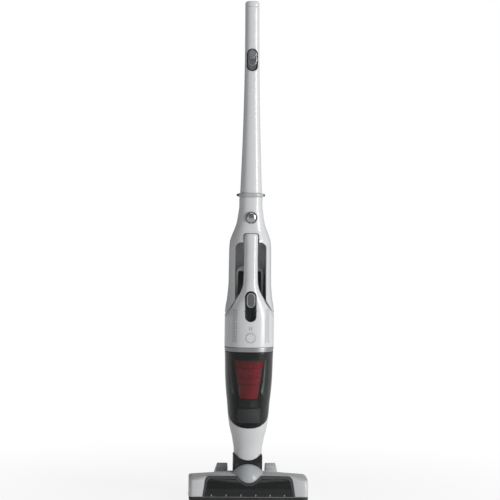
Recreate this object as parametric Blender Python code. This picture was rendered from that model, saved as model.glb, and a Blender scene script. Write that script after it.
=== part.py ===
"""Cordless stick vacuum: floor head, leaning neck, arch frame, handle, handheld unit and dust cup.

Metres, +Z up, front towards -Y. The origin is on the floor, under the middle of the bounding box.
"""

import math

import bmesh
import bpy
from mathutils import Matrix, Vector

# Clearances
GAP = 0.0004  # between pieces that rest on each other
RUN = 0.0005  # round a piece that turns or slides
WALL = 0.0025  # moulded shells

# Floor head
HEAD_HALF = 0.129
HEAD_FRONT = -0.073
HEAD_BACK = 0.038
HEAD_TOP = 0.060
SOLE_Z = 0.0025
TRAY_TOP = 0.0105
SOLE_THICK = 0.0035
HEAD_CORNER = 0.009
BUMPER_THICK = 0.002
WINDOW_TOP_HALF = 0.095
WINDOW_FOOT_HALF = 0.102
WINDOW_TOP = 0.050
WINDOW_BACK = -0.036
WINDOW_WALL = 0.0022

# Brush roll and its drive
BRUSH_Y, BRUSH_Z = -0.0485, 0.0215
BRUSH_CORE = 0.0145
BRUSH_TIP = 0.0200
BRUSH_LEFT, BRUSH_RIGHT = -0.097, 0.102
BRUSH_SHAFT = 0.003
BEARING_RADIUS = 0.009
BEARING_LENGTH = 0.006
RIB_THICK = 0.008
MOUTH_FRONT, MOUTH_BACK = -0.068, -0.028
BELT_X = -0.1155
BELT_WIDTH = 0.006
BELT_THICK = 0.0012
BRUSH_PULLEY_RADIUS = 0.011
MOTOR_PULLEY_RADIUS = 0.006
MOTOR_Y, MOTOR_Z = -0.004, 0.030
BRUSH_MOTOR_RADIUS = 0.015
BRUSH_MOTOR_LENGTH = 0.050
DUCT_RADIUS = 0.012
DUCT_WALL = 0.0018
DUCT_Y = -0.008
CHAMBER_WALL_Y = -0.0255
DOME_RADII = (0.036, 0.030, 0.029)
DOME_BACK = -0.0235
DOME_FOOT = 0.047

# Wheels
REAR_WHEEL_RADIUS = 0.015
REAR_WHEEL_WIDTH = 0.013
REAR_WHEEL_X = 0.0565
REAR_WHEEL_Y = 0.0575
WHEEL_CLEARANCE = 0.0015
AXLE_RADIUS = 0.0025
HOUSING_HALF = 0.0145
HOUSING_BACK = 0.075
HOUSING_TOP = 0.068
HOUSING_FOOT = 0.007
ROLLER_RADIUS = 0.006
ROLLER_WIDTH = 0.012
ROLLER_X = 0.086
ROLLER_Y = -0.014

# Yoke: pitch axis along X, lean axis along Y
PITCH_Y, PITCH_Z = 0.022, 0.034
BARREL_RADIUS = 0.014
TRUNNION_RADIUS = 0.005
TRUNNION_DEPTH = 0.008
YOKE_HALF = 0.0315
YOKE_FRONT = -0.021
YOKE_FOOT = 0.0615
YOKE_TOP = 0.095
YOKE_PLATE = 0.008
EAR_GAP = 0.0008
EAR_THICK = 0.008
EAR_IN = YOKE_HALF + EAR_GAP
EAR_OUT = EAR_IN + EAR_THICK
MOTOR_X1 = -EAR_OUT - 0.004
MOTOR_X0 = MOTOR_X1 - BRUSH_MOTOR_LENGTH
LEAN_Z = 0.121
LEAN_RADIUS = 0.037
LEAN_SEAT_GAP = 0.0008
LEAN_DISC = 0.024
LEAN_PIN_RADIUS = 0.007
LEAN_PIN_HEAD = 0.011
LEAN_PIN_TIP = 0.008

# Stick, from the lean axis up
NECK_LENGTH = 0.068
CUP_HEIGHT = 0.134
RING_HEIGHT = 0.010
SHELL_HEIGHT = 0.072
BELL_HEIGHT = 0.070
GRIP_LENGTH = 0.105
CROWN_HEIGHT = 0.080
COLLAR_HEIGHT = 0.009
HANDLE_LENGTH = 0.426
SEAT_Z = LEAN_Z + NECK_LENGTH  # height of the sloping cup seat at y = 0
SEAT_SLOPE = 0.84
RING_Z = SEAT_Z + CUP_HEIGHT
SHELL_Z = RING_Z + RING_HEIGHT
SHOULDER_Z = SHELL_Z + SHELL_HEIGHT
GRIP_Z = SHOULDER_Z + BELL_HEIGHT
GRIP_TOP = GRIP_Z + GRIP_LENGTH
COLLAR_Z = GRIP_TOP + CROWN_HEIGHT
HANDLE_Z = COLLAR_Z + COLLAR_HEIGHT
STICK_TOP = HANDLE_Z + HANDLE_LENGTH

NECK_HALF = 0.031
CUP_HALF = 0.0539
RAIL_HALF = 0.0466
CROWN_HALF = 0.0252
NECK_BACK = 0.022
CUP_FRONT = -0.057
SPINE_BACK = 0.058
SPINE_FRONT = 0.044
SPINE_FOOT = 0.205
FRAME_SPLIT = 0.018
SCREW_Y = 0.0505
SCREW_RADIUS = 0.002
SCREW_HALF = 0.012
OPENING_HALF = 0.034
OPENING_CORNER = 0.013
NOTCH_HALF = 0.0168
NOTCH_DEPTH = 0.020
RELEASE_DROP = 0.045  # button axis below the collar
RELEASE_RADIUS = 0.0118
HOOK_BACK = -0.0105
SPRING_RADIUS = 0.0068
SPRING_WIRE = 0.0007

COLLAR_HALF = 0.0276
SPIGOT_HALF = 0.0146
SPIGOT_DEPTH = 0.028
SPIGOT_FRONT, SPIGOT_BACK = -0.0146, 0.0126
NUB_REACH = 0.0306
NUB_TRAVEL = 0.0022
NUB_HALF = 0.0045
NUB_HEIGHT = 0.0054
DOCK_BACK = 0.0545
DOCK_HALF = 0.016
DOCK_HEIGHT = 0.070
DOCK_THICK = 0.003

# Handle
HANDLE_FOOT_HALF = 0.0238
HANDLE_TOP_HALF = 0.0156
HANDLE_LEAN = 0.046
HANDLE_WALL = 0.003
CAP_HEIGHT = 0.013
SWITCH_BELOW_TOP = 0.1325
SWITCH_HALF = 0.012
SWITCH_HEIGHT = 0.050
SWITCH_TRAVEL = 0.010

# Handheld unit
GRIP_HALF = 0.0155
GRIP_FRONT = -0.0455
GRIP_BACK = -0.016
UNIT_BACK = SPINE_FRONT - GAP
UNIT_SPLIT = 0.0
HOUSING_WIDE = 0.031
HOUSING_TALL = 0.103  # battery housing above the shoulder
HOUSING_FRONT = 0.016
BATTERY_HALF = 0.025
BATTERY_HEIGHT = 0.086
BATTERY_DEPTH = 0.024
MOTOR_RADIUS = 0.030
MOTOR_HEIGHT = 0.040
MOTOR_LIFT = 0.019
CORE_Y = -0.007  # axis of the fan, filter and cyclone
FAN_RADIUS = 0.028
FAN_HEIGHT = 0.009
AIR_HOLE = 0.024
TRACK_HALF = 0.012
TRACK_HEIGHT = 0.066
TRACK_LIFT = 0.056  # track's lower end above the shell's foot
TRACK_FLOOR = -0.049
SLIDER_HALF = 0.0093
SLIDER_HEIGHT = 0.032
CUP_BUTTON_RADIUS = 0.0108
CUP_BUTTON_LIFT = 0.021

# Dust cup
CUP_FLOOR = 0.0035
CYCLONE_RADIUS = 0.040
CYCLONE_LIP = 0.019
CONE_TOP_RADIUS = 0.033
CONE_FOOT_RADIUS = 0.020
CONE_FOOT_Z = SEAT_Z + 0.029
CONE_WALL = 0.002
CONE_BASE_RADIUS = 0.022
CONE_BASE_HEIGHT = 0.020
INLET_HALF = 0.025
FILTER_RADIUS = 0.034
FILTER_HEIGHT = 0.018

SECTION_POWER = 2.4
RING_POINTS = 28
WHITE = (0.84, 0.85, 0.86)
SILVER = (0.60, 0.61, 0.63)
DARK = (0.05, 0.055, 0.055)
GREY = (0.28, 0.29, 0.30)


def blend(low, high, share):
    return low + (high - low) * share


# ---------------------------------------------------------------- mesh helpers


def paint(obj, colour, roughness, metallic, alpha):
    material = bpy.data.materials.new(obj.name)
    material.use_nodes = True
    shader = material.node_tree.nodes["Principled BSDF"]
    shader.inputs["Base Color"].default_value = (*colour, 1.0)
    shader.inputs["Roughness"].default_value = roughness
    shader.inputs["Metallic"].default_value = metallic
    shader.inputs["Alpha"].default_value = alpha
    obj.data.materials.append(material)


def new_object(name, bm, origin):
    bmesh.ops.recalc_face_normals(bm, faces=bm.faces)
    bmesh.ops.translate(bm, verts=bm.verts, vec=-Vector(origin))
    mesh = bpy.data.meshes.new(name)
    bm.to_mesh(mesh)
    bm.free()
    obj = bpy.data.objects.new(name, mesh)
    obj.location = origin
    bpy.context.collection.objects.link(obj)
    return obj


def part(name, bm, colour=WHITE, roughness=0.35, metallic=0.0, alpha=1.0, origin=(0, 0, 0)):
    """A node of the model, with its own material and its origin where it turns or slides."""
    obj = new_object(name, bm, origin)
    obj.data.shade_smooth()
    obj.data.set_sharp_from_angle(angle=math.radians(35))
    paint(obj, colour, roughness, metallic, alpha)
    return obj


def tool(name, bm):
    """A hidden solid for a Boolean."""
    obj = new_object("tool_" + name, bm, (0, 0, 0))
    obj.hide_render = True
    obj.display_type = "WIRE"
    return obj


def combine(obj, other, operation="DIFFERENCE"):
    modifier = obj.modifiers.new(other.name, "BOOLEAN")
    modifier.operation = operation
    modifier.solver = "EXACT"
    modifier.object = other
    return obj


def loft(rings):
    """A closed solid through rings of equally many points."""
    bm = bmesh.new()
    levels = [[bm.verts.new(point) for point in ring] for ring in rings]
    for low, high in zip(levels, levels[1:]):
        for i in range(len(low)):
            j = (i + 1) % len(low)
            bm.faces.new((low[i], low[j], high[j], high[i]))
    bm.faces.new(levels[0])
    bm.faces.new(levels[-1])
    return bm


def place(u, v, along, axis):
    """A point from two coordinates across an axis and one along it."""
    return {"X": (along, u, v), "Y": (u, along, v), "Z": (u, v, along)}[axis]


def prism(outline, axis, start, end):
    """The outline, given across the axis, extruded from start to end."""
    return loft([[place(u, v, along, axis) for u, v in outline] for along in (start, end)])


def block(x0, x1, y0, y1, z0, z1):
    return prism([(x0, y0), (x1, y0), (x1, y1), (x0, y1)], "Z", z0, z1)


def arc(u, v, radius, start, end, steps):
    angles = [math.radians(blend(start, end, i / steps)) for i in range(steps + 1)]
    return [(u + radius * math.cos(a), v + radius * math.sin(a)) for a in angles]


def rounded(u0, u1, v0, v1, radius, steps=4):
    """A rectangle's outline with round corners."""
    return (
        arc(u1 - radius, v1 - radius, radius, 0, 90, steps)
        + arc(u0 + radius, v1 - radius, radius, 90, 180, steps)
        + arc(u0 + radius, v0 + radius, radius, 180, 270, steps)
        + arc(u1 - radius, v0 + radius, radius, 270, 360, steps)
    )


def stadium(u, v0, v1, half, steps=8):
    return arc(u, v1 - half, half, 0, 180, steps) + arc(u, v0 + half, half, 180, 360, steps)


def rod(axis, u, v, radius, start, end, steps=24):
    return prism(arc(u, v, radius, 0, 360, steps)[:-1], axis, start, end)


def turned(profile, axis, u, v, steps=32):
    """A closed profile of (radius, along) points, clear of the axis, turned round it."""
    bm = bmesh.new()
    levels = []
    for i in range(steps):
        angle = 2 * math.pi * i / steps
        levels.append([
            bm.verts.new(place(u + r * math.cos(angle), v + r * math.sin(angle), along, axis))
            for r, along in profile
        ])
    for i in range(steps):
        here, there = levels[i], levels[(i + 1) % steps]
        for j in range(len(profile)):
            k = (j + 1) % len(profile)
            bm.faces.new((here[j], here[k], there[k], there[j]))
    return bm


def tube(axis, u, v, inner, outer, start, end, steps=24):
    return turned([(inner, start), (outer, start), (outer, end), (inner, end)], axis, u, v, steps)


# ---------------------------------------------------------------- outer shape of the stick


def stations():
    """(height, half width, front, back) of the stick's sections, from the neck to the collar."""
    wide, neck, rail, crown = CUP_HALF, NECK_HALF, RAIL_HALF, CROWN_HALF
    front, back = CUP_FRONT, SPINE_BACK
    return [
        (LEAN_Z - 0.040, neck, -0.024, NECK_BACK),
        (LEAN_Z - 0.013, neck, -0.027, NECK_BACK),
        (LEAN_Z, blend(neck, wide, 0.09), -0.030, NECK_BACK),
        (LEAN_Z + 0.013, blend(neck, wide, 0.18), -0.034, NECK_BACK),
        (SEAT_Z - 0.042, blend(neck, wide, 0.33), -0.038, NECK_BACK),
        (SEAT_Z - 0.028, blend(neck, wide, 0.47), -0.042, blend(NECK_BACK, back, 0.28)),
        (SEAT_Z - 0.002, blend(neck, wide, 0.61), blend(0, front, 0.83), blend(NECK_BACK, back, 0.61)),
        (SEAT_Z + 0.018, blend(neck, wide, 0.68), blend(0, front, 0.87), blend(NECK_BACK, back, 0.78)),
        (blend(SEAT_Z, RING_Z, 0.33), blend(neck, wide, 0.80), blend(0, front, 0.92), back - 0.004),
        (blend(SEAT_Z, RING_Z, 0.57), blend(neck, wide, 0.90), blend(0, front, 0.965), back - 0.002),
        (RING_Z, blend(neck, wide, 0.97), front, back),
        (SHELL_Z, wide, front, back),
        (SHOULDER_Z, wide, front, back),
        (SHOULDER_Z + 0.014, blend(wide, rail, 0.16), front, back),
        (SHOULDER_Z + 0.033, blend(wide, rail, 0.60), front + 0.0025, back - 0.001),
        (GRIP_Z, rail, front + 0.007, back - 0.004),
        (GRIP_TOP - 0.036, rail - 0.0006, front + 0.0125, back - 0.006),
        (GRIP_TOP - 0.017, blend(rail, crown, 0.09), front + 0.016, back - 0.009),
        (GRIP_TOP - 0.004, blend(rail, crown, 0.28), front + 0.0205, back - 0.016),
        (GRIP_TOP + 0.010, blend(rail, crown, 0.54), front + 0.025, back - 0.023),
        (GRIP_TOP + 0.023, blend(rail, crown, 0.74), front + 0.028, back - 0.0285),
        (GRIP_TOP + 0.040, blend(rail, crown, 0.88), front + 0.0305, back - 0.0315),
        (COLLAR_Z - 0.018, crown, front + 0.0325, back - 0.0335),
        (COLLAR_Z, crown, front + 0.033, back - 0.034),
    ]


def section(z, table):
    """(half width, front, back) at a height, between the stations."""
    if z <= table[0][0]:
        return table[0][1:]
    for low, high in zip(table, table[1:]):
        if z <= high[0]:
            share = (z - low[0]) / (high[0] - low[0])
            return tuple(blend(a, b, share) for a, b in zip(low[1:], high[1:]))
    return table[-1][1:]


def section_ring(z, half, front, back, back_limit=1.0, power=SECTION_POWER, count=RING_POINTS):
    middle, depth = (front + back) / 2, (back - front) / 2
    points = []
    for i in range(count):
        angle = 2 * math.pi * i / count
        c, s = math.cos(angle), math.sin(angle)
        x = half * math.copysign(abs(c) ** (2 / power), c)
        y = middle + depth * math.copysign(abs(s) ** (2 / power), s)
        points.append((x, min(y, back_limit), z))
    return points


def heights(table, low, high):
    return [low] + [row[0] for row in table if low + 0.002 < row[0] < high - 0.002] + [high]


def skin(table, low, high, inset=0.0, back_limit=1.0):
    """The solid inside the stations from low to high, drawn in by inset."""
    rings = []
    for z in heights(table, low, high):
        half, front, back = section(z, table)
        limit = min(back - inset, back_limit)
        rings.append(section_ring(z, half - inset, front + inset, back - inset, limit))
    return loft(rings)


def seat_height(y):
    return SEAT_Z + SEAT_SLOPE * y


# ---------------------------------------------------------------- floor head


def head_profile(inset, foot):
    """The cover's outline from the side, as (y, z), front to back over the top."""
    front, back, top = HEAD_FRONT + inset, HEAD_BACK - inset, HEAD_TOP - inset
    nose = 0.030 - inset
    return (
        [(back, foot)]
        + arc(back - 0.014, top - 0.020, 0.014, 0, 70, 4)
        + [(DUCT_Y, top)]
        + arc(front + nose, top - nose - 0.003, nose, 90, 180, 7)
        + [(front, foot)]
    )


def head_solid(half, inset, foot, corner=HEAD_CORNER):
    """The cover's outline carried across the head, rounded towards both ends."""
    rings = []
    for side in (-1, 1):
        angles = (0, 30, 60, 90) if side < 0 else (90, 60, 30, 0)
        for angle in angles:
            x = side * (half - corner * (1 - math.sin(math.radians(90 - angle))))
            drawn_in = inset + corner * (1 - math.cos(math.radians(90 - angle)))
            rings.append([(x, y, z) for y, z in head_profile(drawn_in, foot)])
    return loft(rings)


def window_outline(grow=0.0):
    foot, top = WINDOW_FOOT_HALF + grow, WINDOW_TOP_HALF + grow
    low, high = TRAY_TOP - 0.010, WINDOW_TOP + grow
    return [(-foot, low), (foot, low), (top, high), (-top, high)]


def dome_solid(grow=0.0):
    """The raised centre of the cover: a quarter of an ellipsoid, flat behind and below."""
    bm = bmesh.new()
    bmesh.ops.create_uvsphere(bm, u_segments=24, v_segments=14, radius=1.0)
    bmesh.ops.scale(bm, verts=bm.verts, vec=[radius + grow for radius in DOME_RADII])
    bmesh.ops.translate(bm, verts=bm.verts, vec=(0, DOME_BACK, DOME_FOOT))
    for point, normal in (((0, DOME_BACK + grow, 0), (0, 1, 0)), ((0, 0, DOME_FOOT - grow), (0, 0, -1))):
        cut = bmesh.ops.bisect_plane(
            bm, geom=bm.verts[:] + bm.edges[:] + bm.faces[:], plane_co=point, plane_no=normal, clear_outer=True)
        rim = [item for item in cut["geom_cut"] if isinstance(item, bmesh.types.BMEdge)]
        bmesh.ops.holes_fill(bm, edges=rim, sides=0)
    return bm


def make_head_shells():
    tray = part(
        "head_base",
        prism(rounded(-HEAD_HALF, HEAD_HALF, HEAD_FRONT, HEAD_BACK, 0.010), "Z", SOLE_Z, TRAY_TOP),
        (0.07, 0.07, 0.075), 0.5,
    )
    inner = tool("tray_inner", prism(
        rounded(-HEAD_HALF + 0.004, HEAD_HALF - 0.004, HEAD_FRONT + 0.004, HEAD_BACK - 0.004, 0.007),
        "Z", SOLE_Z + SOLE_THICK, HEAD_TOP,
    ))
    combine(tray, inner)
    floor = SOLE_Z + SOLE_THICK - 0.001
    for side in (-1, 1):
        low, high = sorted((side * EAR_IN, side * EAR_OUT))
        outline = [(PITCH_Y - 0.012, floor), (PITCH_Y + 0.012, floor)] + arc(PITCH_Y, PITCH_Z, 0.012, 0, 180, 8)
        combine(tray, tool(f"ear_{side}", prism(outline, "X", low, high)), "UNION")
    rib_left = BRUSH_LEFT - GAP - RIB_THICK
    rib_right = BRUSH_RIGHT + GAP
    for name, low in (("left", rib_left), ("right", rib_right)):
        outline = [(BRUSH_Y - 0.0125, floor), (BRUSH_Y + 0.0125, floor)] + arc(BRUSH_Y, BRUSH_Z, 0.0125, 0, 180, 8)
        combine(tray, tool(f"rib_{name}", prism(outline, "X", low, low + RIB_THICK)), "UNION")
    cradle = block(
        MOTOR_X0 + 0.006, MOTOR_X1 - 0.006, MOTOR_Y - 0.008, MOTOR_Y + 0.008,
        floor, MOTOR_Z - 0.6 * BRUSH_MOTOR_RADIUS,
    )
    combine(tray, tool("cradle", cradle), "UNION")
    combine(tray, tool("cradle_seat", rod(
        "X", MOTOR_Y, MOTOR_Z, BRUSH_MOTOR_RADIUS + GAP, MOTOR_X0 - 0.002, MOTOR_X1 + 0.002)))
    combine(tray, tool("trunnion_bore", rod(
        "X", PITCH_Y, PITCH_Z, TRUNNION_RADIUS + GAP, -EAR_OUT - 0.01, EAR_OUT + 0.01)))
    combine(tray, tool("bearing_bore", rod(
        "X", BRUSH_Y, BRUSH_Z, BEARING_RADIUS + GAP, rib_left - 0.005, rib_right + RIB_THICK + 0.005)))
    combine(tray, tool("mouth", block(
        BRUSH_LEFT - GAP, BRUSH_RIGHT + GAP, MOUTH_FRONT, MOUTH_BACK, -0.01, 0.020)))
    for side in (-1, 1):
        x = side * ROLLER_X
        combine(tray, tool(f"roller_well_{side}", block(
            x - ROLLER_WIDTH / 2 - 0.001, x + ROLLER_WIDTH / 2 + 0.001,
            ROLLER_Y - ROLLER_RADIUS - 0.001, ROLLER_Y + ROLLER_RADIUS + 0.001, -0.01, 0.020)))
        combine(tray, tool(f"roller_bore_{side}", rod(
            "X", ROLLER_Y, ROLLER_RADIUS, 0.0015 + RUN, x - 0.011, x + 0.011, 12)))
    combine(tray, tool("strip_slot", block(
        -0.0965, 0.0965, MOUTH_BACK + 0.0016, MOUTH_BACK + 0.0044, -0.01, SOLE_Z + 0.0024)))

    cover = part("head_cover", head_solid(HEAD_HALF, 0, TRAY_TOP + GAP), (0.72, 0.74, 0.75), 0.3)
    hollow = tool("cover_hollow", head_solid(HEAD_HALF - WALL, WALL, SOLE_Z))
    combine(cover, hollow)
    combine(cover, tool("cover_window", prism(
        window_outline(GAP), "Y", HEAD_FRONT - 0.05, WINDOW_BACK)))
    combine(cover, tool("cover_yoke", block(
        -EAR_OUT - GAP, EAR_OUT + GAP, PITCH_Y - BARREL_RADIUS - 0.002, HEAD_BACK + 0.05, -0.01, 0.10)))
    combine(cover, tool("cover_dome", dome_solid(GAP)))
    combine(cover, tool("cover_duct", rod("Z", 0, DUCT_Y, DUCT_RADIUS + DUCT_WALL + GAP, 0.03, 0.10)))

    window = part("brush_window", head_solid(HEAD_HALF - 0.001, 0, TRAY_TOP + GAP),
                  (0.06, 0.065, 0.065), 0.08, 0.0, 0.45)
    combine(window, tool("window_hollow", prism(
        head_profile(WINDOW_WALL, SOLE_Z), "X", -HEAD_HALF - 0.01, HEAD_HALF + 0.01)))
    combine(window, tool("window_trim", prism(
        window_outline(), "Y", HEAD_FRONT - 0.05, WINDOW_BACK - GAP)), "INTERSECT")
    combine(window, tool("window_dome", dome_solid(GAP)))
    part("head_dome", dome_solid(), (0.74, 0.76, 0.77), 0.25)

    bumper = rounded(-HEAD_HALF + 0.012, HEAD_HALF - 0.012, SOLE_Z + 0.001, TRAY_TOP - 0.001, 0.0015, 2)
    part("front_bumper", prism(bumper, "Y", HEAD_FRONT - BUMPER_THICK, HEAD_FRONT - GAP), DARK, 0.7)
    strip = block(-0.096, 0.096, MOUTH_BACK + 0.002, MOUTH_BACK + 0.004, 0.0012, SOLE_Z + 0.002)
    part("lint_strip", strip, (0.45, 0.03, 0.04), 0.9)


def make_head_duct():
    """The wall behind the brush, with the tube that rises to the yoke."""
    top = YOKE_FOOT - GAP
    wall = prism(
        [(-0.094, SOLE_Z + SOLE_THICK + GAP), (0.099, SOLE_Z + SOLE_THICK + GAP), (0.092, 0.043), (-0.088, 0.043)],
        "Y", CHAMBER_WALL_Y - 0.002, CHAMBER_WALL_Y,
    )
    duct = part("head_duct", wall, GREY, 0.5)
    outer, inner = DUCT_RADIUS + DUCT_WALL, DUCT_RADIUS
    combine(duct, tool("duct_riser", rod("Z", 0, DUCT_Y, outer, 0.0105, top)), "UNION")
    combine(duct, tool("duct_throat", block(
        -outer, outer, CHAMBER_WALL_Y - 0.001, DUCT_Y, 0.0105, 0.040)), "UNION")
    combine(duct, tool("duct_bore", rod("Z", 0, DUCT_Y, inner, 0.0125, top + 0.01)))
    combine(duct, tool("throat_bore", block(
        -inner + 0.001, inner - 0.001, CHAMBER_WALL_Y - 0.01, DUCT_Y, 0.013, 0.037)))


def brush_rings():
    """Rings of a core with six twisted rows of bristle."""
    rings = []
    steps = 8
    for i in range(steps + 1):
        x = blend(BRUSH_LEFT, BRUSH_RIGHT, i / steps)
        twist = math.radians(100) * i / steps
        ring = []
        for row in range(6):
            for offset, radius in ((-30, BRUSH_CORE), (-9, BRUSH_CORE), (-5, BRUSH_TIP), (5, BRUSH_TIP), (9, BRUSH_CORE)):
                angle = math.radians(60 * row + offset) + twist
                ring.append((x, BRUSH_Y + radius * math.cos(angle), BRUSH_Z + radius * math.sin(angle)))
        rings.append(ring)
    return rings


def make_brush():
    axis = (0, BRUSH_Y, BRUSH_Z)
    rib_left, rib_right = BRUSH_LEFT - GAP - RIB_THICK, BRUSH_RIGHT + GAP
    brush = part("brush_roll", loft(brush_rings()), (0.35, 0.04, 0.05), 0.8, origin=axis)
    combine(brush, tool("brush_bore", rod(
        "X", BRUSH_Y, BRUSH_Z, BRUSH_SHAFT + GAP, BRUSH_LEFT - 0.01, BRUSH_RIGHT + 0.01, 16)))
    part("brush_shaft", rod(
        "X", BRUSH_Y, BRUSH_Z, BRUSH_SHAFT, BELT_X - BELT_WIDTH, rib_right + RIB_THICK, 16),
        SILVER, 0.3, 1.0, origin=axis)
    part("brush_pulley", tube(
        "X", BRUSH_Y, BRUSH_Z, BRUSH_SHAFT + GAP, BRUSH_PULLEY_RADIUS,
        BELT_X - BELT_WIDTH / 2, BELT_X + BELT_WIDTH / 2), DARK, 0.5, origin=axis)
    for name, x in (("left", rib_left + 0.001), ("right", rib_right + 0.001)):
        part(f"brush_bearing_{name}", tube(
            "X", BRUSH_Y, BRUSH_Z, BRUSH_SHAFT + GAP, BEARING_RADIUS, x, x + BEARING_LENGTH),
            SILVER, 0.35, 1.0)


def belt_outline(grow):
    """An open belt's loop round both pulleys, as (y, z)."""
    big, small = BRUSH_PULLEY_RADIUS + grow, MOTOR_PULLEY_RADIUS + grow
    span = Vector((MOTOR_Y - BRUSH_Y, MOTOR_Z - BRUSH_Z))
    heading = math.degrees(math.atan2(span.y, span.x))
    wrap = math.degrees(math.asin((big - small) / span.length))
    return (
        arc(BRUSH_Y, BRUSH_Z, big, heading + 90 - wrap, heading + 270 + wrap, 14)
        + arc(MOTOR_Y, MOTOR_Z, small, heading - 90 + wrap, heading + 90 - wrap, 10)
    )


def make_drive():
    x0, x1 = BELT_X - BELT_WIDTH / 2, BELT_X + BELT_WIDTH / 2
    belt = part("drive_belt", prism(belt_outline(GAP + BELT_THICK), "X", x0, x1), DARK, 0.8)
    combine(belt, tool("belt_inside", prism(belt_outline(GAP), "X", x0 - 0.01, x1 + 0.01)))
    part("brush_motor", rod("X", MOTOR_Y, MOTOR_Z, BRUSH_MOTOR_RADIUS, MOTOR_X0, MOTOR_X1), SILVER, 0.35, 1.0)
    pulley = part("motor_pulley", rod(
        "X", MOTOR_Y, MOTOR_Z, MOTOR_PULLEY_RADIUS, x0, x1), DARK, 0.5, origin=(0, MOTOR_Y, MOTOR_Z))
    combine(pulley, tool("motor_shaft", rod(
        "X", MOTOR_Y, MOTOR_Z, 0.002, x0 - 0.001, MOTOR_X0 - GAP, 12)), "UNION")


def make_wheels():
    for side, name in ((-1, "left"), (1, "right")):
        x = side * REAR_WHEEL_X
        well = REAR_WHEEL_WIDTH / 2 + WHEEL_CLEARANCE
        outline = (
            [(HEAD_BACK + GAP, HOUSING_FOOT), (HOUSING_BACK, HOUSING_FOOT)]
            + arc(HOUSING_BACK - 0.020, HOUSING_TOP - 0.020, 0.020, 0, 90, 5)
            + [(HEAD_BACK + GAP, HOUSING_TOP - 0.006)]
        )
        housing = part(f"wheel_housing_{name}", prism(outline, "X", x - HOUSING_HALF, x + HOUSING_HALF),
                       (0.42, 0.43, 0.45), 0.4)
        combine(housing, tool(f"wheel_well_{name}", block(
            x - well, x + well, HEAD_BACK + 0.003, HOUSING_BACK + 0.01,
            -0.01, 2 * REAR_WHEEL_RADIUS + WHEEL_CLEARANCE)))
        combine(housing, tool(f"axle_bore_{name}", rod(
            "X", REAR_WHEEL_Y, REAR_WHEEL_RADIUS, AXLE_RADIUS + GAP, x - 0.0125, x + 0.0125, 16)))
        centre = (x, REAR_WHEEL_Y, REAR_WHEEL_RADIUS)
        half = REAR_WHEEL_WIDTH / 2
        wheel = tube("X", REAR_WHEEL_Y, REAR_WHEEL_RADIUS, AXLE_RADIUS + RUN, REAR_WHEEL_RADIUS, x - half, x + half, 40)
        part(f"rear_wheel_{name}", wheel, (0.10, 0.10, 0.105), 0.7, origin=centre)
        part(f"rear_axle_{name}", rod(
            "X", REAR_WHEEL_Y, REAR_WHEEL_RADIUS, AXLE_RADIUS, x - 0.012, x + 0.012, 16), SILVER, 0.3, 1.0)
        x = side * ROLLER_X
        roller = part(f"front_roller_{name}", rod(
            "X", ROLLER_Y, ROLLER_RADIUS, ROLLER_RADIUS, x - ROLLER_WIDTH / 2, x + ROLLER_WIDTH / 2, 24),
            (0.10, 0.10, 0.105), 0.7, origin=(x, ROLLER_Y, ROLLER_RADIUS))
        combine(roller, tool(f"roller_pin_{name}", rod(
            "X", ROLLER_Y, ROLLER_RADIUS, 0.0015, x - 0.010, x + 0.010, 12)), "UNION")


# ---------------------------------------------------------------- yoke


def make_yoke():
    back = NECK_BACK + GAP + YOKE_PLATE
    outline = (
        [(YOKE_FRONT, YOKE_FOOT), (PITCH_Y - BARREL_RADIUS, YOKE_FOOT)]
        + arc(PITCH_Y, PITCH_Z, BARREL_RADIUS, 180, 360, 12)
        + [(back, PITCH_Z + 0.020), (back, YOKE_TOP), (YOKE_FRONT, YOKE_TOP)]
    )
    yoke = part("yoke", prism(outline, "X", -YOKE_HALF, YOKE_HALF), DARK, 0.35,
                origin=(0, PITCH_Y, PITCH_Z))
    combine(yoke, tool("lean_seat", rod(
        "Y", 0, LEAN_Z, LEAN_RADIUS + LEAN_SEAT_GAP, YOKE_FRONT - 0.02, NECK_BACK + GAP, 72)))
    combine(yoke, tool("lean_disc", rod("Y", 0, LEAN_Z, LEAN_DISC, NECK_BACK + GAP, back, 32)), "UNION")
    combine(yoke, tool("lean_web", block(
        -LEAN_DISC, LEAN_DISC, NECK_BACK + GAP, back, YOKE_TOP - 0.010, LEAN_Z)), "UNION")
    combine(yoke, tool("lean_bore", rod(
        "Y", 0, LEAN_Z, LEAN_PIN_RADIUS + GAP, NECK_BACK - 0.01, back + 0.01)))
    combine(yoke, tool("yoke_air", rod("Z", 0, DUCT_Y, DUCT_RADIUS, YOKE_FOOT - 0.01, LEAN_Z)))
    for side in (-1, 1):
        low, high = sorted((side * (YOKE_HALF - TRUNNION_DEPTH - GAP), side * (YOKE_HALF + 0.01)))
        combine(yoke, tool(f"pitch_bore_{side}", rod(
            "X", PITCH_Y, PITCH_Z, TRUNNION_RADIUS + RUN, low, high)))
    for side, name in ((-1, "left"), (1, "right")):
        low, high = sorted((side * (YOKE_HALF - TRUNNION_DEPTH), side * EAR_OUT))
        part(f"trunnion_{name}", rod("X", PITCH_Y, PITCH_Z, TRUNNION_RADIUS, low, high), SILVER, 0.3, 1.0)
    pin = part("lean_pin", rod("Y", 0, LEAN_Z, LEAN_PIN_RADIUS, LEAN_PIN_TIP, back + 0.002), SILVER, 0.3, 1.0,
               origin=(0, NECK_BACK, LEAN_Z))
    combine(pin, tool("pin_head", rod("Y", 0, LEAN_Z, LEAN_PIN_HEAD, back + GAP, back + 0.0035)), "UNION")


# ---------------------------------------------------------------- neck, frame and collar


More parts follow.
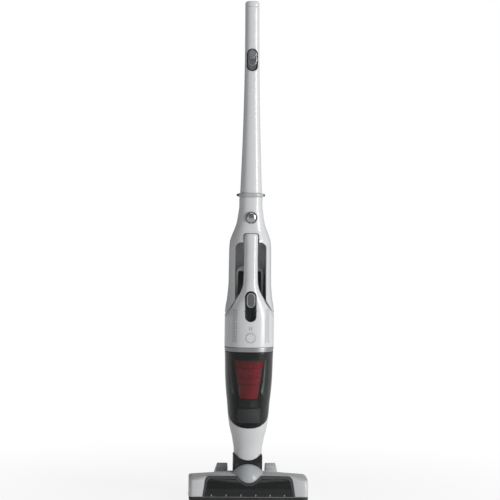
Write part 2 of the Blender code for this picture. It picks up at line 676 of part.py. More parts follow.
def make_neck():
    table = stations()
    neck = part("lower_neck", skin(table, LEAN_Z - 0.040, SEAT_Z + 0.060), WHITE, 0.3,
                origin=(0, NECK_BACK, LEAN_Z))
    wide = CUP_HALF + 0.02
    foot = (
        [(-wide, SEAT_Z + 0.1), (-wide, LEAN_Z)]
        + arc(0, LEAN_Z, LEAN_RADIUS, 180, 360, 28)
        + [(wide, LEAN_Z), (wide, SEAT_Z + 0.1)]
    )
    combine(neck, tool("neck_foot", prism(foot, "Y", -0.10, 0.10)), "INTERSECT")
    top = SEAT_Z + 0.15
    over = [
        (-0.10, seat_height(-0.10)), (SPINE_FRONT, seat_height(SPINE_FRONT)), (SPINE_FRONT, SPINE_FOOT),
        (0.10, SPINE_FOOT), (0.10, top), (-0.10, top),
    ]
    combine(neck, tool("neck_top", prism(over, "X", -0.10, 0.10)))
    combine(neck, tool("neck_pin_bore", rod(
        "Y", 0, LEAN_Z, LEAN_PIN_RADIUS + RUN, LEAN_PIN_TIP - 0.001, NECK_BACK + 0.03)))
    combine(neck, tool("neck_air", rod("Z", 0, DUCT_Y, DUCT_RADIUS, LEAN_Z - 0.06, SEAT_Z + 0.03)))
    combine(neck, tool("neck_screw_bore", rod(
        "Z", 0, SCREW_Y, SCREW_RADIUS + GAP, SPINE_FOOT - SCREW_HALF - 0.001, SPINE_FOOT + 0.02, 12)))


def frame_opening():
    """The arch frame's opening from the front, as (x, z), with the bell's flare below it."""
    half, corner, top = OPENING_HALF, OPENING_CORNER, GRIP_TOP - 0.019
    notch_top = top + NOTCH_DEPTH
    right = (
        [(0.08, SPINE_FOOT - 0.05), (0.08, SHOULDER_Z + 0.004)]
        + [(x + GAP, z + GAP) for x, z in bell_flare()]
        + arc(half - corner, top - corner, corner, 0, 90, 6)
        + [(NOTCH_HALF, top)]
        + arc(NOTCH_HALF - 0.006, notch_top - 0.006, 0.006, 0, 90, 4)
    )
    return right + [(-x, z) for x, z in reversed(right)]


def bell_flare():
    """Right edge of the bell from the shoulder to where the opening's side meets it."""
    s = SHOULDER_Z
    return [(CUP_HALF - 0.0022, s + 0.004), (CUP_HALF - 0.0075, s + 0.010),
            (blend(GRIP_HALF, CUP_HALF, 0.60), s + 0.022), (OPENING_HALF - GAP, s + 0.0295)]


def make_frame():
    table = stations()
    opening = tool("frame_opening", prism(frame_opening(), "Y", -0.10, SPINE_FRONT))
    release_z = COLLAR_Z - RELEASE_DROP
    bore_back = FRAME_SPLIT - 0.006
    bores = [
        opening,
        tool("release_bore", rod("Y", 0, release_z, RELEASE_RADIUS + GAP, -0.06, bore_back)),
        tool("hook_slot", block(-0.0055, 0.0055, -0.014, -0.003, GRIP_TOP - 0.005, release_z)),
        tool("spigot_bore", prism(
            rounded(-SPIGOT_HALF - GAP, SPIGOT_HALF + GAP, SPIGOT_FRONT - GAP, SPIGOT_BACK + GAP, 0.004, 3),
            "Z", COLLAR_Z - SPIGOT_DEPTH - GAP, COLLAR_Z + 0.01)),
    ]
    front = part("frame_front", skin(table, SHOULDER_Z - 0.01, COLLAR_Z), WHITE, 0.3)
    back = part("frame_back", skin(table, SPINE_FOOT + GAP, COLLAR_Z), WHITE, 0.3)
    combine(front, tool("front_split", block(-0.1, 0.1, FRAME_SPLIT, 0.1, 0.1, 0.8)))
    combine(back, tool("back_split", block(-0.1, 0.1, -0.1, FRAME_SPLIT + GAP, 0.1, 0.8)))
    for bore in bores:
        combine(front, bore)
        combine(back, bore)
    dock_low = blend(SHELL_Z, GRIP_TOP, 0.55)
    dock_high = dock_low + DOCK_HEIGHT
    combine(back, tool("dock_recess", prism(
        rounded(-DOCK_HALF - GAP, DOCK_HALF + GAP, dock_low - GAP, dock_high + GAP, 0.006),
        "Y", DOCK_BACK - DOCK_THICK - GAP, 0.1)))
    plate = part("dock_plate", prism(
        rounded(-DOCK_HALF, DOCK_HALF, dock_low, dock_high, 0.006),
        "Y", DOCK_BACK - DOCK_THICK, DOCK_BACK), GREY, 0.5)
    for side, name in ((-1, "left"), (1, "right")):
        x, z = side * 0.006, dock_low + 0.012
        combine(plate, tool(f"contact_bore_{name}", rod("Y", x, z, 0.003 + GAP, 0.03, 0.1, 12)))
        part(f"charge_contact_{name}", rod(
            "Y", x, z, 0.003, DOCK_BACK - DOCK_THICK, DOCK_BACK - 0.0005, 12), (0.8, 0.6, 0.3), 0.3, 1.0)
    combine(back, tool("screw_bore", rod(
        "Z", 0, SCREW_Y, SCREW_RADIUS + GAP, SPINE_FOOT - 0.01, SPINE_FOOT + SCREW_HALF + 0.001, 12)))
    part("spine_screw", rod(
        "Z", 0, SCREW_Y, SCREW_RADIUS, SPINE_FOOT - SCREW_HALF, SPINE_FOOT + SCREW_HALF, 12), SILVER, 0.3, 1.0)


def coil(radius, wire, start, end, turns, u, v, sides=4):
    """A round wire spring along Y."""
    bm = bmesh.new()
    steps = turns * 8
    rings = []
    for i in range(steps + 1):
        share = i / steps
        angle = 2 * math.pi * turns * share
        out = Vector((math.cos(angle), 0, math.sin(angle)))
        centre = Vector((u, blend(start + wire, end - wire, share), v)) + out * radius
        ring = []
        for k in range(sides):
            a = 2 * math.pi * k / sides
            ring.append(bm.verts.new(centre + out * wire * math.cos(a) + Vector((0, 1, 0)) * wire * math.sin(a)))
        rings.append(ring)
    for low, high in zip(rings, rings[1:]):
        for k in range(sides):
            m = (k + 1) % sides
            bm.faces.new((low[k], low[m], high[m], high[k]))
    bm.faces.new(rings[0])
    bm.faces.new(rings[-1])
    return bm


def make_release():
    """The round button in the crown, its return spring and the hook above the grip."""
    z = COLLAR_Z - RELEASE_DROP
    face = section(z, stations())[1]
    rim = face - 0.0005
    profile = [(0.0008, rim - 0.0035), (0.006, rim - 0.003), (0.0095, rim - 0.0018), (RELEASE_RADIUS, rim),
               (RELEASE_RADIUS, -0.0145), (0.0045, -0.0145), (0.0045, -0.001), (0.0008, -0.001)]
    button = part("release_button", turned(profile, "Y", 0, z, 32), SILVER, 0.2, 1.0, origin=(0, rim, z))
    combine(button, tool("button_core", rod("Y", 0, z, 0.0015, rim - 0.0030, -0.002, 12)), "UNION")
    combine(button, tool("button_hook", block(
        -0.0045, 0.0045, HOOK_BACK - 0.003, HOOK_BACK, GRIP_TOP + 0.0015, z - 0.001)), "UNION")
    combine(button, tool("button_hook_root", block(
        -0.0045, 0.0045, HOOK_BACK - 0.0055, HOOK_BACK, z - 0.010, z - 0.003)), "UNION")
    spring_back = FRAME_SPLIT - 0.006 - GAP
    part("release_spring", coil(SPRING_RADIUS, SPRING_WIRE, HOOK_BACK + GAP, spring_back, 4, 0, z),
         SILVER, 0.3, 1.0)


def make_collar():
    ring = [section_ring(z, COLLAR_HALF, -0.0265, 0.0255) for z in (COLLAR_Z + GAP, HANDLE_Z - GAP)]
    collar = part("collar", loft(ring), (0.75, 0.76, 0.77), 0.25)
    combine(collar, tool("collar_bore", prism(
        rounded(-SPIGOT_HALF - GAP, SPIGOT_HALF + GAP, SPIGOT_FRONT - GAP, SPIGOT_BACK + GAP, 0.004, 3),
        "Z", COLLAR_Z - 0.01, HANDLE_Z + 0.01)))
    middle = (COLLAR_Z + HANDLE_Z) / 2
    for side, name in ((-1, "left"), (1, "right")):
        low, high = sorted((side * 0.010, side * 0.05))
        combine(collar, tool(f"nub_slot_{name}", block(
            low, high, -NUB_HALF - GAP, NUB_HALF + GAP,
            middle - NUB_HEIGHT / 2 - GAP, middle + NUB_HEIGHT / 2 + GAP)))
        inner = SPIGOT_HALF + GAP + NUB_TRAVEL + 0.0006
        outline = [(inner, -NUB_HALF), (NUB_REACH - 0.001, -NUB_HALF), (NUB_REACH, -NUB_HALF + 0.0015),
                   (NUB_REACH, NUB_HALF - 0.0015), (NUB_REACH - 0.001, NUB_HALF), (inner, NUB_HALF)]
        outline = [(side * x, y) for x, y in outline]
        part(f"handle_button_{name}", prism(outline, "Z", middle - NUB_HEIGHT / 2, middle + NUB_HEIGHT / 2),
             GREY, 0.5, origin=(side * NUB_REACH, 0, middle))


# ---------------------------------------------------------------- handle


def handle_section(z):
    """(half width, front, back) of the handle, which leans back towards the top."""
    share = (z - HANDLE_Z) / HANDLE_LENGTH
    half = HANDLE_TOP_HALF + (HANDLE_FOOT_HALF - HANDLE_TOP_HALF) * max(0.0, 1 - share * 1.15) ** 1.9
    middle = HANDLE_LEAN * share ** 1.6
    return half, middle - half * 1.0, middle + half * 0.95


def handle_solid(low, high, inset, steps):
    rings = []
    for i in range(steps + 1):
        z = blend(low, high, i / steps)
        half, front, back = handle_section(z)
        rings.append(section_ring(z, half - inset, front + inset, back - inset, count=24))
    return rings


def tilt_at(z):
    """The matrix that lays a piece drawn flat at y = 0, z = 0 on the handle's front at a height."""
    step = 0.01
    rise = handle_section(z + step)[1] - handle_section(z - step)[1]
    angle = -math.atan2(rise, 2 * step)
    return Matrix.Translation((0, handle_section(z)[1], z)) @ Matrix.Rotation(angle, 4, "X")


def make_handle():
    cap_z = STICK_TOP - CAP_HEIGHT
    handle = part("handle_tube", loft(handle_solid(HANDLE_Z, cap_z, 0, 10)), WHITE, 0.3, origin=(0, 0, HANDLE_Z))
    combine(handle, tool("handle_spigot", prism(
        rounded(-SPIGOT_HALF, SPIGOT_HALF, SPIGOT_FRONT, SPIGOT_BACK, 0.004, 3),
        "Z", COLLAR_Z - SPIGOT_DEPTH, HANDLE_Z + 0.012)), "UNION")
    combine(handle, tool("handle_hollow", loft(handle_solid(HANDLE_Z + 0.022, cap_z + 0.02, HANDLE_WALL, 8))))

    rings = handle_solid(cap_z + GAP, STICK_TOP - 0.006, 0, 1)
    half, front, back = handle_section(STICK_TOP)
    for inset, drop in ((0.001, 0.0035), (0.003, 0.0012), (0.0058, 0.0)):
        rings.append(section_ring(STICK_TOP - drop, half - inset, front + inset, back - inset, count=24))
    cap = part("handle_cap", loft(rings), WHITE, 0.3)
    combine(cap, tool("cap_plug", loft(handle_solid(
        cap_z - 0.006, cap_z + 0.004, HANDLE_WALL + GAP, 1))), "UNION")

    place_switch = tilt_at(STICK_TOP - SWITCH_BELOW_TOP)
    half = SWITCH_HEIGHT / 2

    def laid(bm):
        bmesh.ops.transform(bm, matrix=place_switch, verts=bm.verts)
        return bm

    combine(handle, tool("switch_hole", laid(prism(
        stadium(0, -half - GAP, half + GAP, SWITCH_HALF + GAP), "Y", -0.02, 0.008))))
    bezel = part("switch_bezel", laid(prism(stadium(0, -half, half, SWITCH_HALF), "Y", -0.0008, 0.006)),
                 DARK, 0.4)
    combine(bezel, tool("bezel_pocket", laid(prism(
        stadium(0, -half + 0.0018, half - 0.0018, SWITCH_HALF - 0.0018), "Y", -0.02, 0.0036))))
    slider_low = -half + 0.0022 + SWITCH_TRAVEL
    slider = laid(prism(stadium(0, slider_low, half - 0.0022, SWITCH_HALF - 0.0022), "Y", -0.0022, 0.0033))
    part("handle_switch", slider, SILVER, 0.25, 1.0, origin=place_switch.translation)
    board = laid(block(-0.008, 0.008, 0.006 + GAP, 0.008, -0.020, 0.020))
    part("switch_board", board, (0.05, 0.25, 0.12), 0.6)


# ---------------------------------------------------------------- handheld unit


def unit_stations():
    """(height, half width, front, back) of the handheld's shell, from its foot to the grip's top."""
    s, g = SHOULDER_Z, GRIP_Z
    wide, slim = CUP_HALF, GRIP_HALF
    front = CUP_FRONT
    return [
        (SHELL_Z, wide, front, SPINE_BACK),
        (s - 0.004, wide, front, SPINE_BACK),
        (s + 0.002, wide - 0.0022, front, SPINE_BACK - 0.004),
        (s + 0.010, wide - 0.0080, front + 0.0002, 0.030),
        (s + 0.022, blend(slim, wide, 0.59), front + 0.0010, 0.014),
        (s + 0.032, blend(slim, wide, 0.42), front + 0.0018, 0.004),
        (s + 0.042, blend(slim, wide, 0.245), front + 0.0030, -0.004),
        (s + 0.055, blend(slim, wide, 0.085), front + 0.0050, -0.011),
        (g, slim + 0.0004, front + 0.0078, -0.0150),
        (g + 0.020, slim - 0.0002, GRIP_FRONT - 0.001, GRIP_BACK),
        (GRIP_TOP - 0.040, slim - 0.0005, GRIP_FRONT, GRIP_BACK),
        (GRIP_TOP - 0.006, slim, GRIP_FRONT + 0.0010, GRIP_BACK - 0.001),
        (GRIP_TOP, slim - 0.0025, GRIP_FRONT + 0.0040, GRIP_BACK - 0.003),
    ]


def housing_outline(inset=0.0):
    top = SHOULDER_Z + HOUSING_TALL - inset
    half = HOUSING_WIDE - inset
    radius = 0.018 - inset
    return (
        [(half, SHOULDER_Z - 0.004)]
        + arc(half - radius, top - radius, radius, 0, 90, 6)
        + arc(-half + radius, top - radius, radius, 90, 180, 6)
        + [(-half, SHOULDER_Z - 0.004)]
    )


def make_unit_shells():
    table = unit_stations()
    low = SHELL_Z
    outer_front = part("handheld_front", skin(table, low, GRIP_TOP, 0.0, UNIT_BACK), WHITE, 0.3)
    outer_rear = part("handheld_rear", skin(table, low, GRIP_TOP, 0.0, UNIT_BACK), WHITE, 0.3)
    cavity = tool("unit_cavity", skin(table, low + WALL + 0.001, GRIP_TOP - WALL, WALL + 0.0005, UNIT_BACK - WALL))
    air = tool("unit_air", rod("Z", 0, CORE_Y, AIR_HOLE, low - 0.01, low + 0.01, 32))
    combine(outer_front, tool("unit_rear_half", block(-0.1, 0.1, UNIT_SPLIT, 0.1, 0.2, 0.7)))
    combine(outer_rear, tool("unit_front_half", block(-0.1, 0.1, -0.1, UNIT_SPLIT + GAP, 0.2, 0.7)))
    combine(outer_rear, tool("battery_housing", prism(
        housing_outline(), "Y", HOUSING_FRONT, UNIT_BACK)), "UNION")
    for shell in (outer_front, outer_rear):
        combine(shell, cavity)
        combine(shell, air)
    floor = SHOULDER_Z + 0.006
    half, top = BATTERY_HALF + GAP, floor + BATTERY_HEIGHT + GAP
    combine(outer_rear, tool("battery_pocket", prism(
        rounded(-half, half, floor - GAP, top, 0.004, 3), "Y", UNIT_SPLIT - 0.02, HOUSING_FRONT + BATTERY_DEPTH + GAP)))
    part("battery_pack", prism(
        rounded(-BATTERY_HALF, BATTERY_HALF, floor, floor + BATTERY_HEIGHT, 0.004, 3),
        "Y", HOUSING_FRONT, HOUSING_FRONT + BATTERY_DEPTH), (0.02, 0.022, 0.024), 0.2)

    z0 = SHELL_Z + TRACK_LIFT
    z1 = z0 + TRACK_HEIGHT
    combine(outer_front, tool("track_hole", prism(
        stadium(0, z0 - GAP, z1 + GAP, TRACK_HALF + GAP), "Y", -0.08, -0.040)))
    track = part("slider_track", prism(stadium(0, z0, z1, TRACK_HALF), "Y", -0.08, TRACK_FLOOR + 0.002),
                 (0.03, 0.05, 0.045), 0.25)
    surface = tool("unit_surface", skin(table, low, GRIP_TOP, 0.0, UNIT_BACK))
    combine(track, surface, "INTERSECT")
    combine(track, tool("track_pocket", prism(
        stadium(0, z0 + 0.0018, z1 - 0.0018, TRACK_HALF - 0.0018), "Y", -0.09, TRACK_FLOOR)))
    slider_top = z1 - 0.0035
    part("power_slider", prism(
        stadium(0, slider_top - SLIDER_HEIGHT, slider_top, SLIDER_HALF), "Y", CUP_FRONT - 0.0012, TRACK_FLOOR - GAP),
        SILVER, 0.2, 1.0, origin=(0, CUP_FRONT, slider_top - SLIDER_HEIGHT / 2))
    part("control_board", block(
        -0.009, 0.009, TRACK_FLOOR + 0.002 + GAP, TRACK_FLOOR + 0.004, z0 + 0.004, z1 - 0.010),
        (0.05, 0.25, 0.12), 0.6)

    z = SHELL_Z + CUP_BUTTON_LIFT
    combine(outer_front, tool("cup_button_hole", rod("Y", 0, z, CUP_BUTTON_RADIUS + GAP, -0.08, -0.040, 32)))
    button = part("cup_button", rod("Y", 0, z, CUP_BUTTON_RADIUS, -0.08, CUP_FRONT + 0.006, 32), WHITE, 0.3,
                  origin=(0, CUP_FRONT, z))
    combine(button, surface, "INTERSECT")


def make_unit_works():
    z0 = SHELL_Z + MOTOR_LIFT
    part("suction_motor", rod("Z", 0, CORE_Y, MOTOR_RADIUS, z0, z0 + MOTOR_HEIGHT, 32), SILVER, 0.35, 1.0)
    middle = z0 + MOTOR_HEIGHT / 2
    mount = part("motor_mount", skin(
        unit_stations(), middle - 0.0025, middle + 0.0025, WALL + 0.0005 + GAP, UNIT_BACK - WALL - GAP), GREY, 0.6)
    combine(mount, tool("mount_hole", rod("Z", 0, CORE_Y, MOTOR_RADIUS + GAP, middle - 0.01, middle + 0.01, 32)))
    low = z0 - GAP - 0.002 - FAN_HEIGHT
    rings = []
    for i in range(4):
        z = blend(low, low + FAN_HEIGHT, i / 3)
        twist = math.radians(14) * i
        ring = []
        for blade in range(9):
            for offset, radius in ((-20, 0.010), (-4, 0.011), (-2, FAN_RADIUS), (2, FAN_RADIUS), (4, 0.011)):
                angle = math.radians(40 * blade + offset) + twist
                ring.append((radius * math.cos(angle), CORE_Y + radius * math.sin(angle), z))
        rings.append(ring)
    fan = part("fan_impeller", loft(rings), GREY, 0.4, origin=(0, CORE_Y, low))
    combine(fan, tool("fan_shaft", rod("Z", 0, CORE_Y, 0.003, low + 0.002, z0 - GAP, 12)), "UNION")


# ---------------------------------------------------------------- dust cup


def make_cup():
    table = stations()
    floor = GAP
    back = UNIT_BACK
    cup = part("dust_cup", skin(table, SEAT_Z - 0.055, RING_Z - GAP, 0.0, back), (0.25, 0.27, 0.27), 0.05, 0.0, 0.35)

    def above(rise, back_y):
        return [(-0.1, seat_height(-0.1) + rise), (back_y, seat_height(back_y) + rise),
                (back_y, RING_Z + 0.1), (-0.1, RING_Z + 0.1)]

    combine(cup, tool("cup_foot", prism(above(floor, back + 0.01), "X", -0.1, 0.1)), "INTERSECT")
    inner = tool("cup_inner", skin(table, SEAT_Z - 0.055, RING_Z + 0.01, WALL, back - WALL))
    combine(inner, tool("cup_inner_foot", prism(above(floor + CUP_FLOOR, back + 0.01), "X", -0.1, 0.1)), "INTERSECT")
    combine(cup, inner)
    combine(cup, tool("cup_inlet", rod("Z", 0, DUCT_Y, DUCT_RADIUS, SEAT_Z - 0.08, SEAT_Z + 0.03)))

    ring = part("cup_ring", skin(table, RING_Z, SHELL_Z - GAP, 0.0, back), (0.45, 0.46, 0.47), 0.3, 0.8)
    combine(ring, tool("ring_hole", rod("Z", 0, CORE_Y, CYCLONE_RADIUS - 0.004, RING_Z - 0.01, SHELL_Z + 0.01, 32)))

    lip = RING_Z - CYCLONE_LIP
    high = RING_Z - GAP

    def cone_radius(share):
        return blend(CONE_FOOT_RADIUS, CONE_TOP_RADIUS, share)

    outer = [(CYCLONE_RADIUS, high), (CYCLONE_RADIUS, lip)]
    for share in (1.0, 0.80, 0.55, 0.375):
        z = blend(CONE_FOOT_Z, lip, share)
        outer += [(cone_radius(share) + (0.0006 if share < 1 else 0), z),
                  (cone_radius(share) - 0.0012, z - 0.0008)]
    outer.append((CONE_FOOT_RADIUS, CONE_FOOT_Z))
    inner_wall = [(CONE_FOOT_RADIUS - CONE_WALL, CONE_FOOT_Z), (CONE_TOP_RADIUS - 2 * CONE_WALL, lip + CONE_WALL),
                  (CYCLONE_RADIUS - CONE_WALL, lip + CONE_WALL), (CYCLONE_RADIUS - CONE_WALL, high)]
    part("cyclone_cone", turned(outer + inner_wall, "Z", 0, CORE_Y, 36), (0.45, 0.03, 0.05), 0.25)
    base_top = CONE_FOOT_Z - GAP
    base_low = base_top - CONE_BASE_HEIGHT
    base = part("cone_base", rod("Z", 0, CORE_Y, CONE_BASE_RADIUS, base_low, base_top, 32), (0.12, 0.12, 0.13), 0.4)
    inlet = part("inlet_duct", block(-INLET_HALF, INLET_HALF, CORE_Y - 0.025, CORE_Y + 0.025,
                                     SEAT_Z - 0.05, base_low - GAP), (0.35, 0.36, 0.37), 0.4)
    on_floor = tool("inlet_floor", prism(above(floor + CUP_FLOOR + GAP, 0.08), "X", -0.05, 0.05))
    for piece in (base, inlet):
        combine(piece, on_floor, "INTERSECT")
    combine(inlet, tool("inlet_bore", rod("Z", 0, DUCT_Y, DUCT_RADIUS, SEAT_Z - 0.08, base_low - 0.0025)))
    combine(inlet, tool("inlet_outlet", block(
        0.0, 0.06, DUCT_Y - 0.007, DUCT_Y + 0.004, SEAT_Z - 0.003, base_low - 0.0025)))
    foot = lip + CONE_WALL + GAP
    part("cup_filter", tube("Z", 0, CORE_Y, FILTER_RADIUS - 0.012, FILTER_RADIUS, foot, foot + FILTER_HEIGHT, 32),
         (0.85, 0.85, 0.82), 0.9)


def main():
    for obj in list(bpy.data.objects):
        bpy.data.objects.remove(obj, do_unlink=True)
    make_head_shells()
    make_head_duct()
    make_brush()
    make_drive()
    make_wheels()
    make_yoke()
    make_neck()
    make_frame()
    make_release()
    make_collar()
    make_handle()
    make_unit_shells()
    make_unit_works()
    make_cup()


main()
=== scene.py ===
"""The looks of a cordless stick vacuum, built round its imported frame.

Metres, +Z up, front towards -Y.
"""

import math

import bmesh
import bpy
from mathutils import Matrix, Vector


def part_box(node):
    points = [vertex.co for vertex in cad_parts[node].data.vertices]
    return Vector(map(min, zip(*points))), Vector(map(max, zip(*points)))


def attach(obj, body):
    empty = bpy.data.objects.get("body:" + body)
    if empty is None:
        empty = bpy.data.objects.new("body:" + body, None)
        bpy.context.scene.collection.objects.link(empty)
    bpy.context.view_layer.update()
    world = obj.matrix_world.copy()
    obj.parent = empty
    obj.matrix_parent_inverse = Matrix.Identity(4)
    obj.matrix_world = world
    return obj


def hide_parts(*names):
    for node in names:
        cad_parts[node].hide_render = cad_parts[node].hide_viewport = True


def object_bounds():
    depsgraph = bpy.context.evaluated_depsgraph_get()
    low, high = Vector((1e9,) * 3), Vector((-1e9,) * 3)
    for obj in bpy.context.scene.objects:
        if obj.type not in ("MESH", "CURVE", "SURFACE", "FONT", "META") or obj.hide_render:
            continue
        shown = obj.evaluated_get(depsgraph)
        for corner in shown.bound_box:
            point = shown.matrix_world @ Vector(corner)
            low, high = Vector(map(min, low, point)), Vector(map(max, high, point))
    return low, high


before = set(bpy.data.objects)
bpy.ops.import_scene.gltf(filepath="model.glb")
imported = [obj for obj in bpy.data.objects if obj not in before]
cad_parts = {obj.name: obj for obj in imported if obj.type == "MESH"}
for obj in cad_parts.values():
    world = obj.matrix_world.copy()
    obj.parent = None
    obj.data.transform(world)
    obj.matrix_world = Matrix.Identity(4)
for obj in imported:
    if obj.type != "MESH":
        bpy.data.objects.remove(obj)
cad_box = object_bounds()


# ---------------------------------------------------------------- sizes

def low(node):
    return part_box(node)[0]


def high(node):
    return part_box(node)[1]


GAP = 0.0004
WALL = 0.0025
LEAN_Z = (low("lean_pin").z + high("lean_pin").z) / 2
RING_Z = low("cup_ring").z
SHELL_Z = low("handheld_front").z
SHOULDER_Z = SHELL_Z + 0.072
GRIP_TOP = high("handheld_front").z
GRIP_Z = GRIP_TOP - 0.105
COLLAR_Z = high("frame_front").z
HANDLE_Z = high("collar").z + GAP
STICK_TOP = high("handle_cap").z
HANDLE_LENGTH = STICK_TOP - HANDLE_Z
CAP_Z = STICK_TOP - 0.013
SEAT_Z = RING_Z - 0.134
SPINE_FOOT = 0.205
SEAT_SLOPE = 0.84
CUP_HALF = high("handheld_front").x
NECK_HALF, RAIL_HALF, CROWN_HALF = 0.031, 0.0466, 0.0252
NECK_BACK, SPINE_FRONT, SPINE_BACK = 0.022, 0.044, 0.058
CUP_FRONT = low("handheld_front").y
OPENING_HALF = 0.034
GRIP_HALF = 0.0155
UNIT_BACK = SPINE_FRONT - GAP
CORE_Y = -0.007
DUCT_Y, DUCT_RADIUS = -0.008, 0.012
LEAN_RADIUS = 0.037
RELEASE_RADIUS = 0.0118
RELEASE_Z = high("release_button").z - RELEASE_RADIUS
HEAD_HALF = high("head_cover").x
HEAD_FRONT, HEAD_BACK = low("head_cover").y, high("head_cover").y
HEAD_TOP = high("head_cover").z
TRAY_TOP = 0.0105
HEAD_CORNER = 0.009
BRUSH_Y, BRUSH_Z = -0.0485, 0.0215
PITCH_Y = 0.022
WINDOW_BACK = -0.036
DOME_RADII = (0.036, 0.0468, 0.029)
DOME_CENTRE = (0, -0.0235, 0.047)
DOME_FOOT = 0.0405
SECTION_POWER = 2.4
FOOT_POWER = 2.08
ROUND_BELOW, ROUND_FADE = 0.165, 0.10
RING_POINTS = 96


def blend(start, end, share):
    return start + (end - start) * share


def ease(share):
    """A share held between 0 and 1, slow at both ends."""
    share = min(1.0, max(0.0, share))
    return share * share * (3 - 2 * share)


# ---------------------------------------------------------------- mesh helpers

def drum(rings):
    """A closed drum laid through rings of equally many points, four of them or a multiple."""
    bm = bmesh.new()
    tall, round_it = len(rings) - 1, len(rings[0])
    bmesh.ops.create_cone(bm, cap_ends=True, segments=round_it, radius1=1.0, radius2=1.0, depth=tall)
    if tall > 1:
        upright = [edge for edge in bm.edges if abs(edge.verts[0].co.z - edge.verts[1].co.z) > 0.5]
        bmesh.ops.subdivide_edges(bm, edges=upright, cuts=tall - 1)
    for vert in bm.verts:
        level = round(vert.co.z + tall / 2)
        turn = round(math.atan2(vert.co.y, vert.co.x) / math.tau * round_it) % round_it
        vert.co = rings[level][turn]
    bmesh.ops.recalc_face_normals(bm, faces=bm.faces)
    return bm


def place(u, v, along, axis):
    return {"X": (along, u, v), "Y": (u, along, v), "Z": (u, v, along)}[axis]


def arc(u, v, radius, start, end, steps):
    angles = [math.radians(blend(start, end, i / steps)) for i in range(steps + 1)]
    return [(u + radius * math.cos(a), v + radius * math.sin(a)) for a in angles]


def rounded(u0, u1, v0, v1, radius, steps=8):
    return (
        arc(u1 - radius, v1 - radius, radius, 0, 90, steps)
        + arc(u0 + radius, v1 - radius, radius, 90, 180, steps)
        + arc(u0 + radius, v0 + radius, radius, 180, 270, steps)
        + arc(u1 - radius, v0 + radius, radius, 270, 360, steps)
    )


def stadium(u, v0, v1, half, steps=20):
    return arc(u, v1 - half, half, 0, 180, steps) + arc(u, v0 + half, half, 180, 360, steps)


def bevel(bm, edges, width, segments=3, **more):
    bmesh.ops.bevel(bm, geom=edges, offset=width, offset_type="OFFSET", affect="EDGES", segments=segments,
                    profile=0.5, material=-1, **more)


def prism(outline, axis, start, end, edge=0.0):
    """The outline pulled along an axis, with its two rims bevelled by edge."""
    bm = bmesh.new()
    verts = [bm.verts.new(place(u, v, start, axis)) for u, v in outline]
    pulled = bmesh.ops.extrude_face_region(bm, geom=[bm.faces.new(verts)], use_keep_orig=True)["geom"]
    moved = [item for item in pulled if isinstance(item, bmesh.types.BMVert)]
    bmesh.ops.translate(bm, verts=moved, vec=place(0, 0, end - start, axis))
    bmesh.ops.remove_doubles(bm, verts=bm.verts, dist=1e-6)
    bmesh.ops.recalc_face_normals(bm, faces=bm.faces)
    if edge:
        caps = [face for face in bm.faces if len(face.verts) > 4 or len(outline) == 4]
        bevel(bm, list({rim for face in caps for rim in face.edges}), edge, clamp_overlap=True)
    return bm


def block(x0, x1, y0, y1, z0, z1, edge=0.0):
    bm = bmesh.new()
    bmesh.ops.create_cube(bm, size=1.0)
    bmesh.ops.scale(bm, verts=bm.verts, vec=(x1 - x0, y1 - y0, z1 - z0))
    bmesh.ops.translate(bm, verts=bm.verts, vec=((x0 + x1) / 2, (y0 + y1) / 2, (z0 + z1) / 2))
    if edge:
        bevel(bm, bm.edges, edge)
    return bm


def turned(profile, axis, u, v, steps=64):
    """An open or closed profile of (radius, along) points spun a full turn round an axis."""
    bm = bmesh.new()
    verts = [bm.verts.new(place(u + r, v, along, axis)) for r, along in profile]
    edges = [bm.edges.new((a, b)) for a, b in zip(verts, verts[1:])]
    line = {"X": (1, 0, 0), "Y": (0, 1, 0), "Z": (0, 0, 1)}[axis]
    bmesh.ops.spin(bm, geom=verts + edges, cent=place(u, v, 0, axis), axis=line, angle=math.tau,
                   steps=steps, use_merge=True)
    bmesh.ops.remove_doubles(bm, verts=bm.verts, dist=1e-6)
    bmesh.ops.recalc_face_normals(bm, faces=bm.faces)
    return bm


def rod(axis, u, v, radius, start, end, edge=0.0004, steps=48):
    return turned([(0, start), (radius - edge, start), (radius, start + edge), (radius, end - edge),
                   (radius - edge, end), (0, end)], axis, u, v, steps)


def tube(axis, u, v, inner, outer, start, end, edge=0.0004, steps=64):
    loop = [(inner, start + edge), (inner + edge, start), (outer - edge, start), (outer, start + edge),
            (outer, end - edge), (outer - edge, end), (inner + edge, end), (inner, end - edge), (inner, start + edge)]
    return turned(loop, axis, u, v, steps)


def mirrored(half_profile, middle):
    """A profile of (radius, reach) points from one end to the middle, and back out to the other end."""
    return ([(radius, middle - reach) for radius, reach in half_profile]
            + [(radius, middle + reach) for radius, reach in reversed(half_profile)])


def ring_loop(profile):
    return profile + profile[:1]


def joined(*meshes):
    """Several bmeshes in one."""
    whole = meshes[0]
    for bm in meshes[1:]:
        extra = bpy.data.meshes.new("extra")
        bm.to_mesh(extra)
        bm.free()
        whole.from_mesh(extra)
        bpy.data.meshes.remove(extra)
    return whole


def object_of(name, bm):
    mesh = bpy.data.meshes.new(name)
    bm.to_mesh(mesh)
    bm.free()
    obj = bpy.data.objects.new(name, mesh)
    bpy.context.collection.objects.link(obj)
    return obj


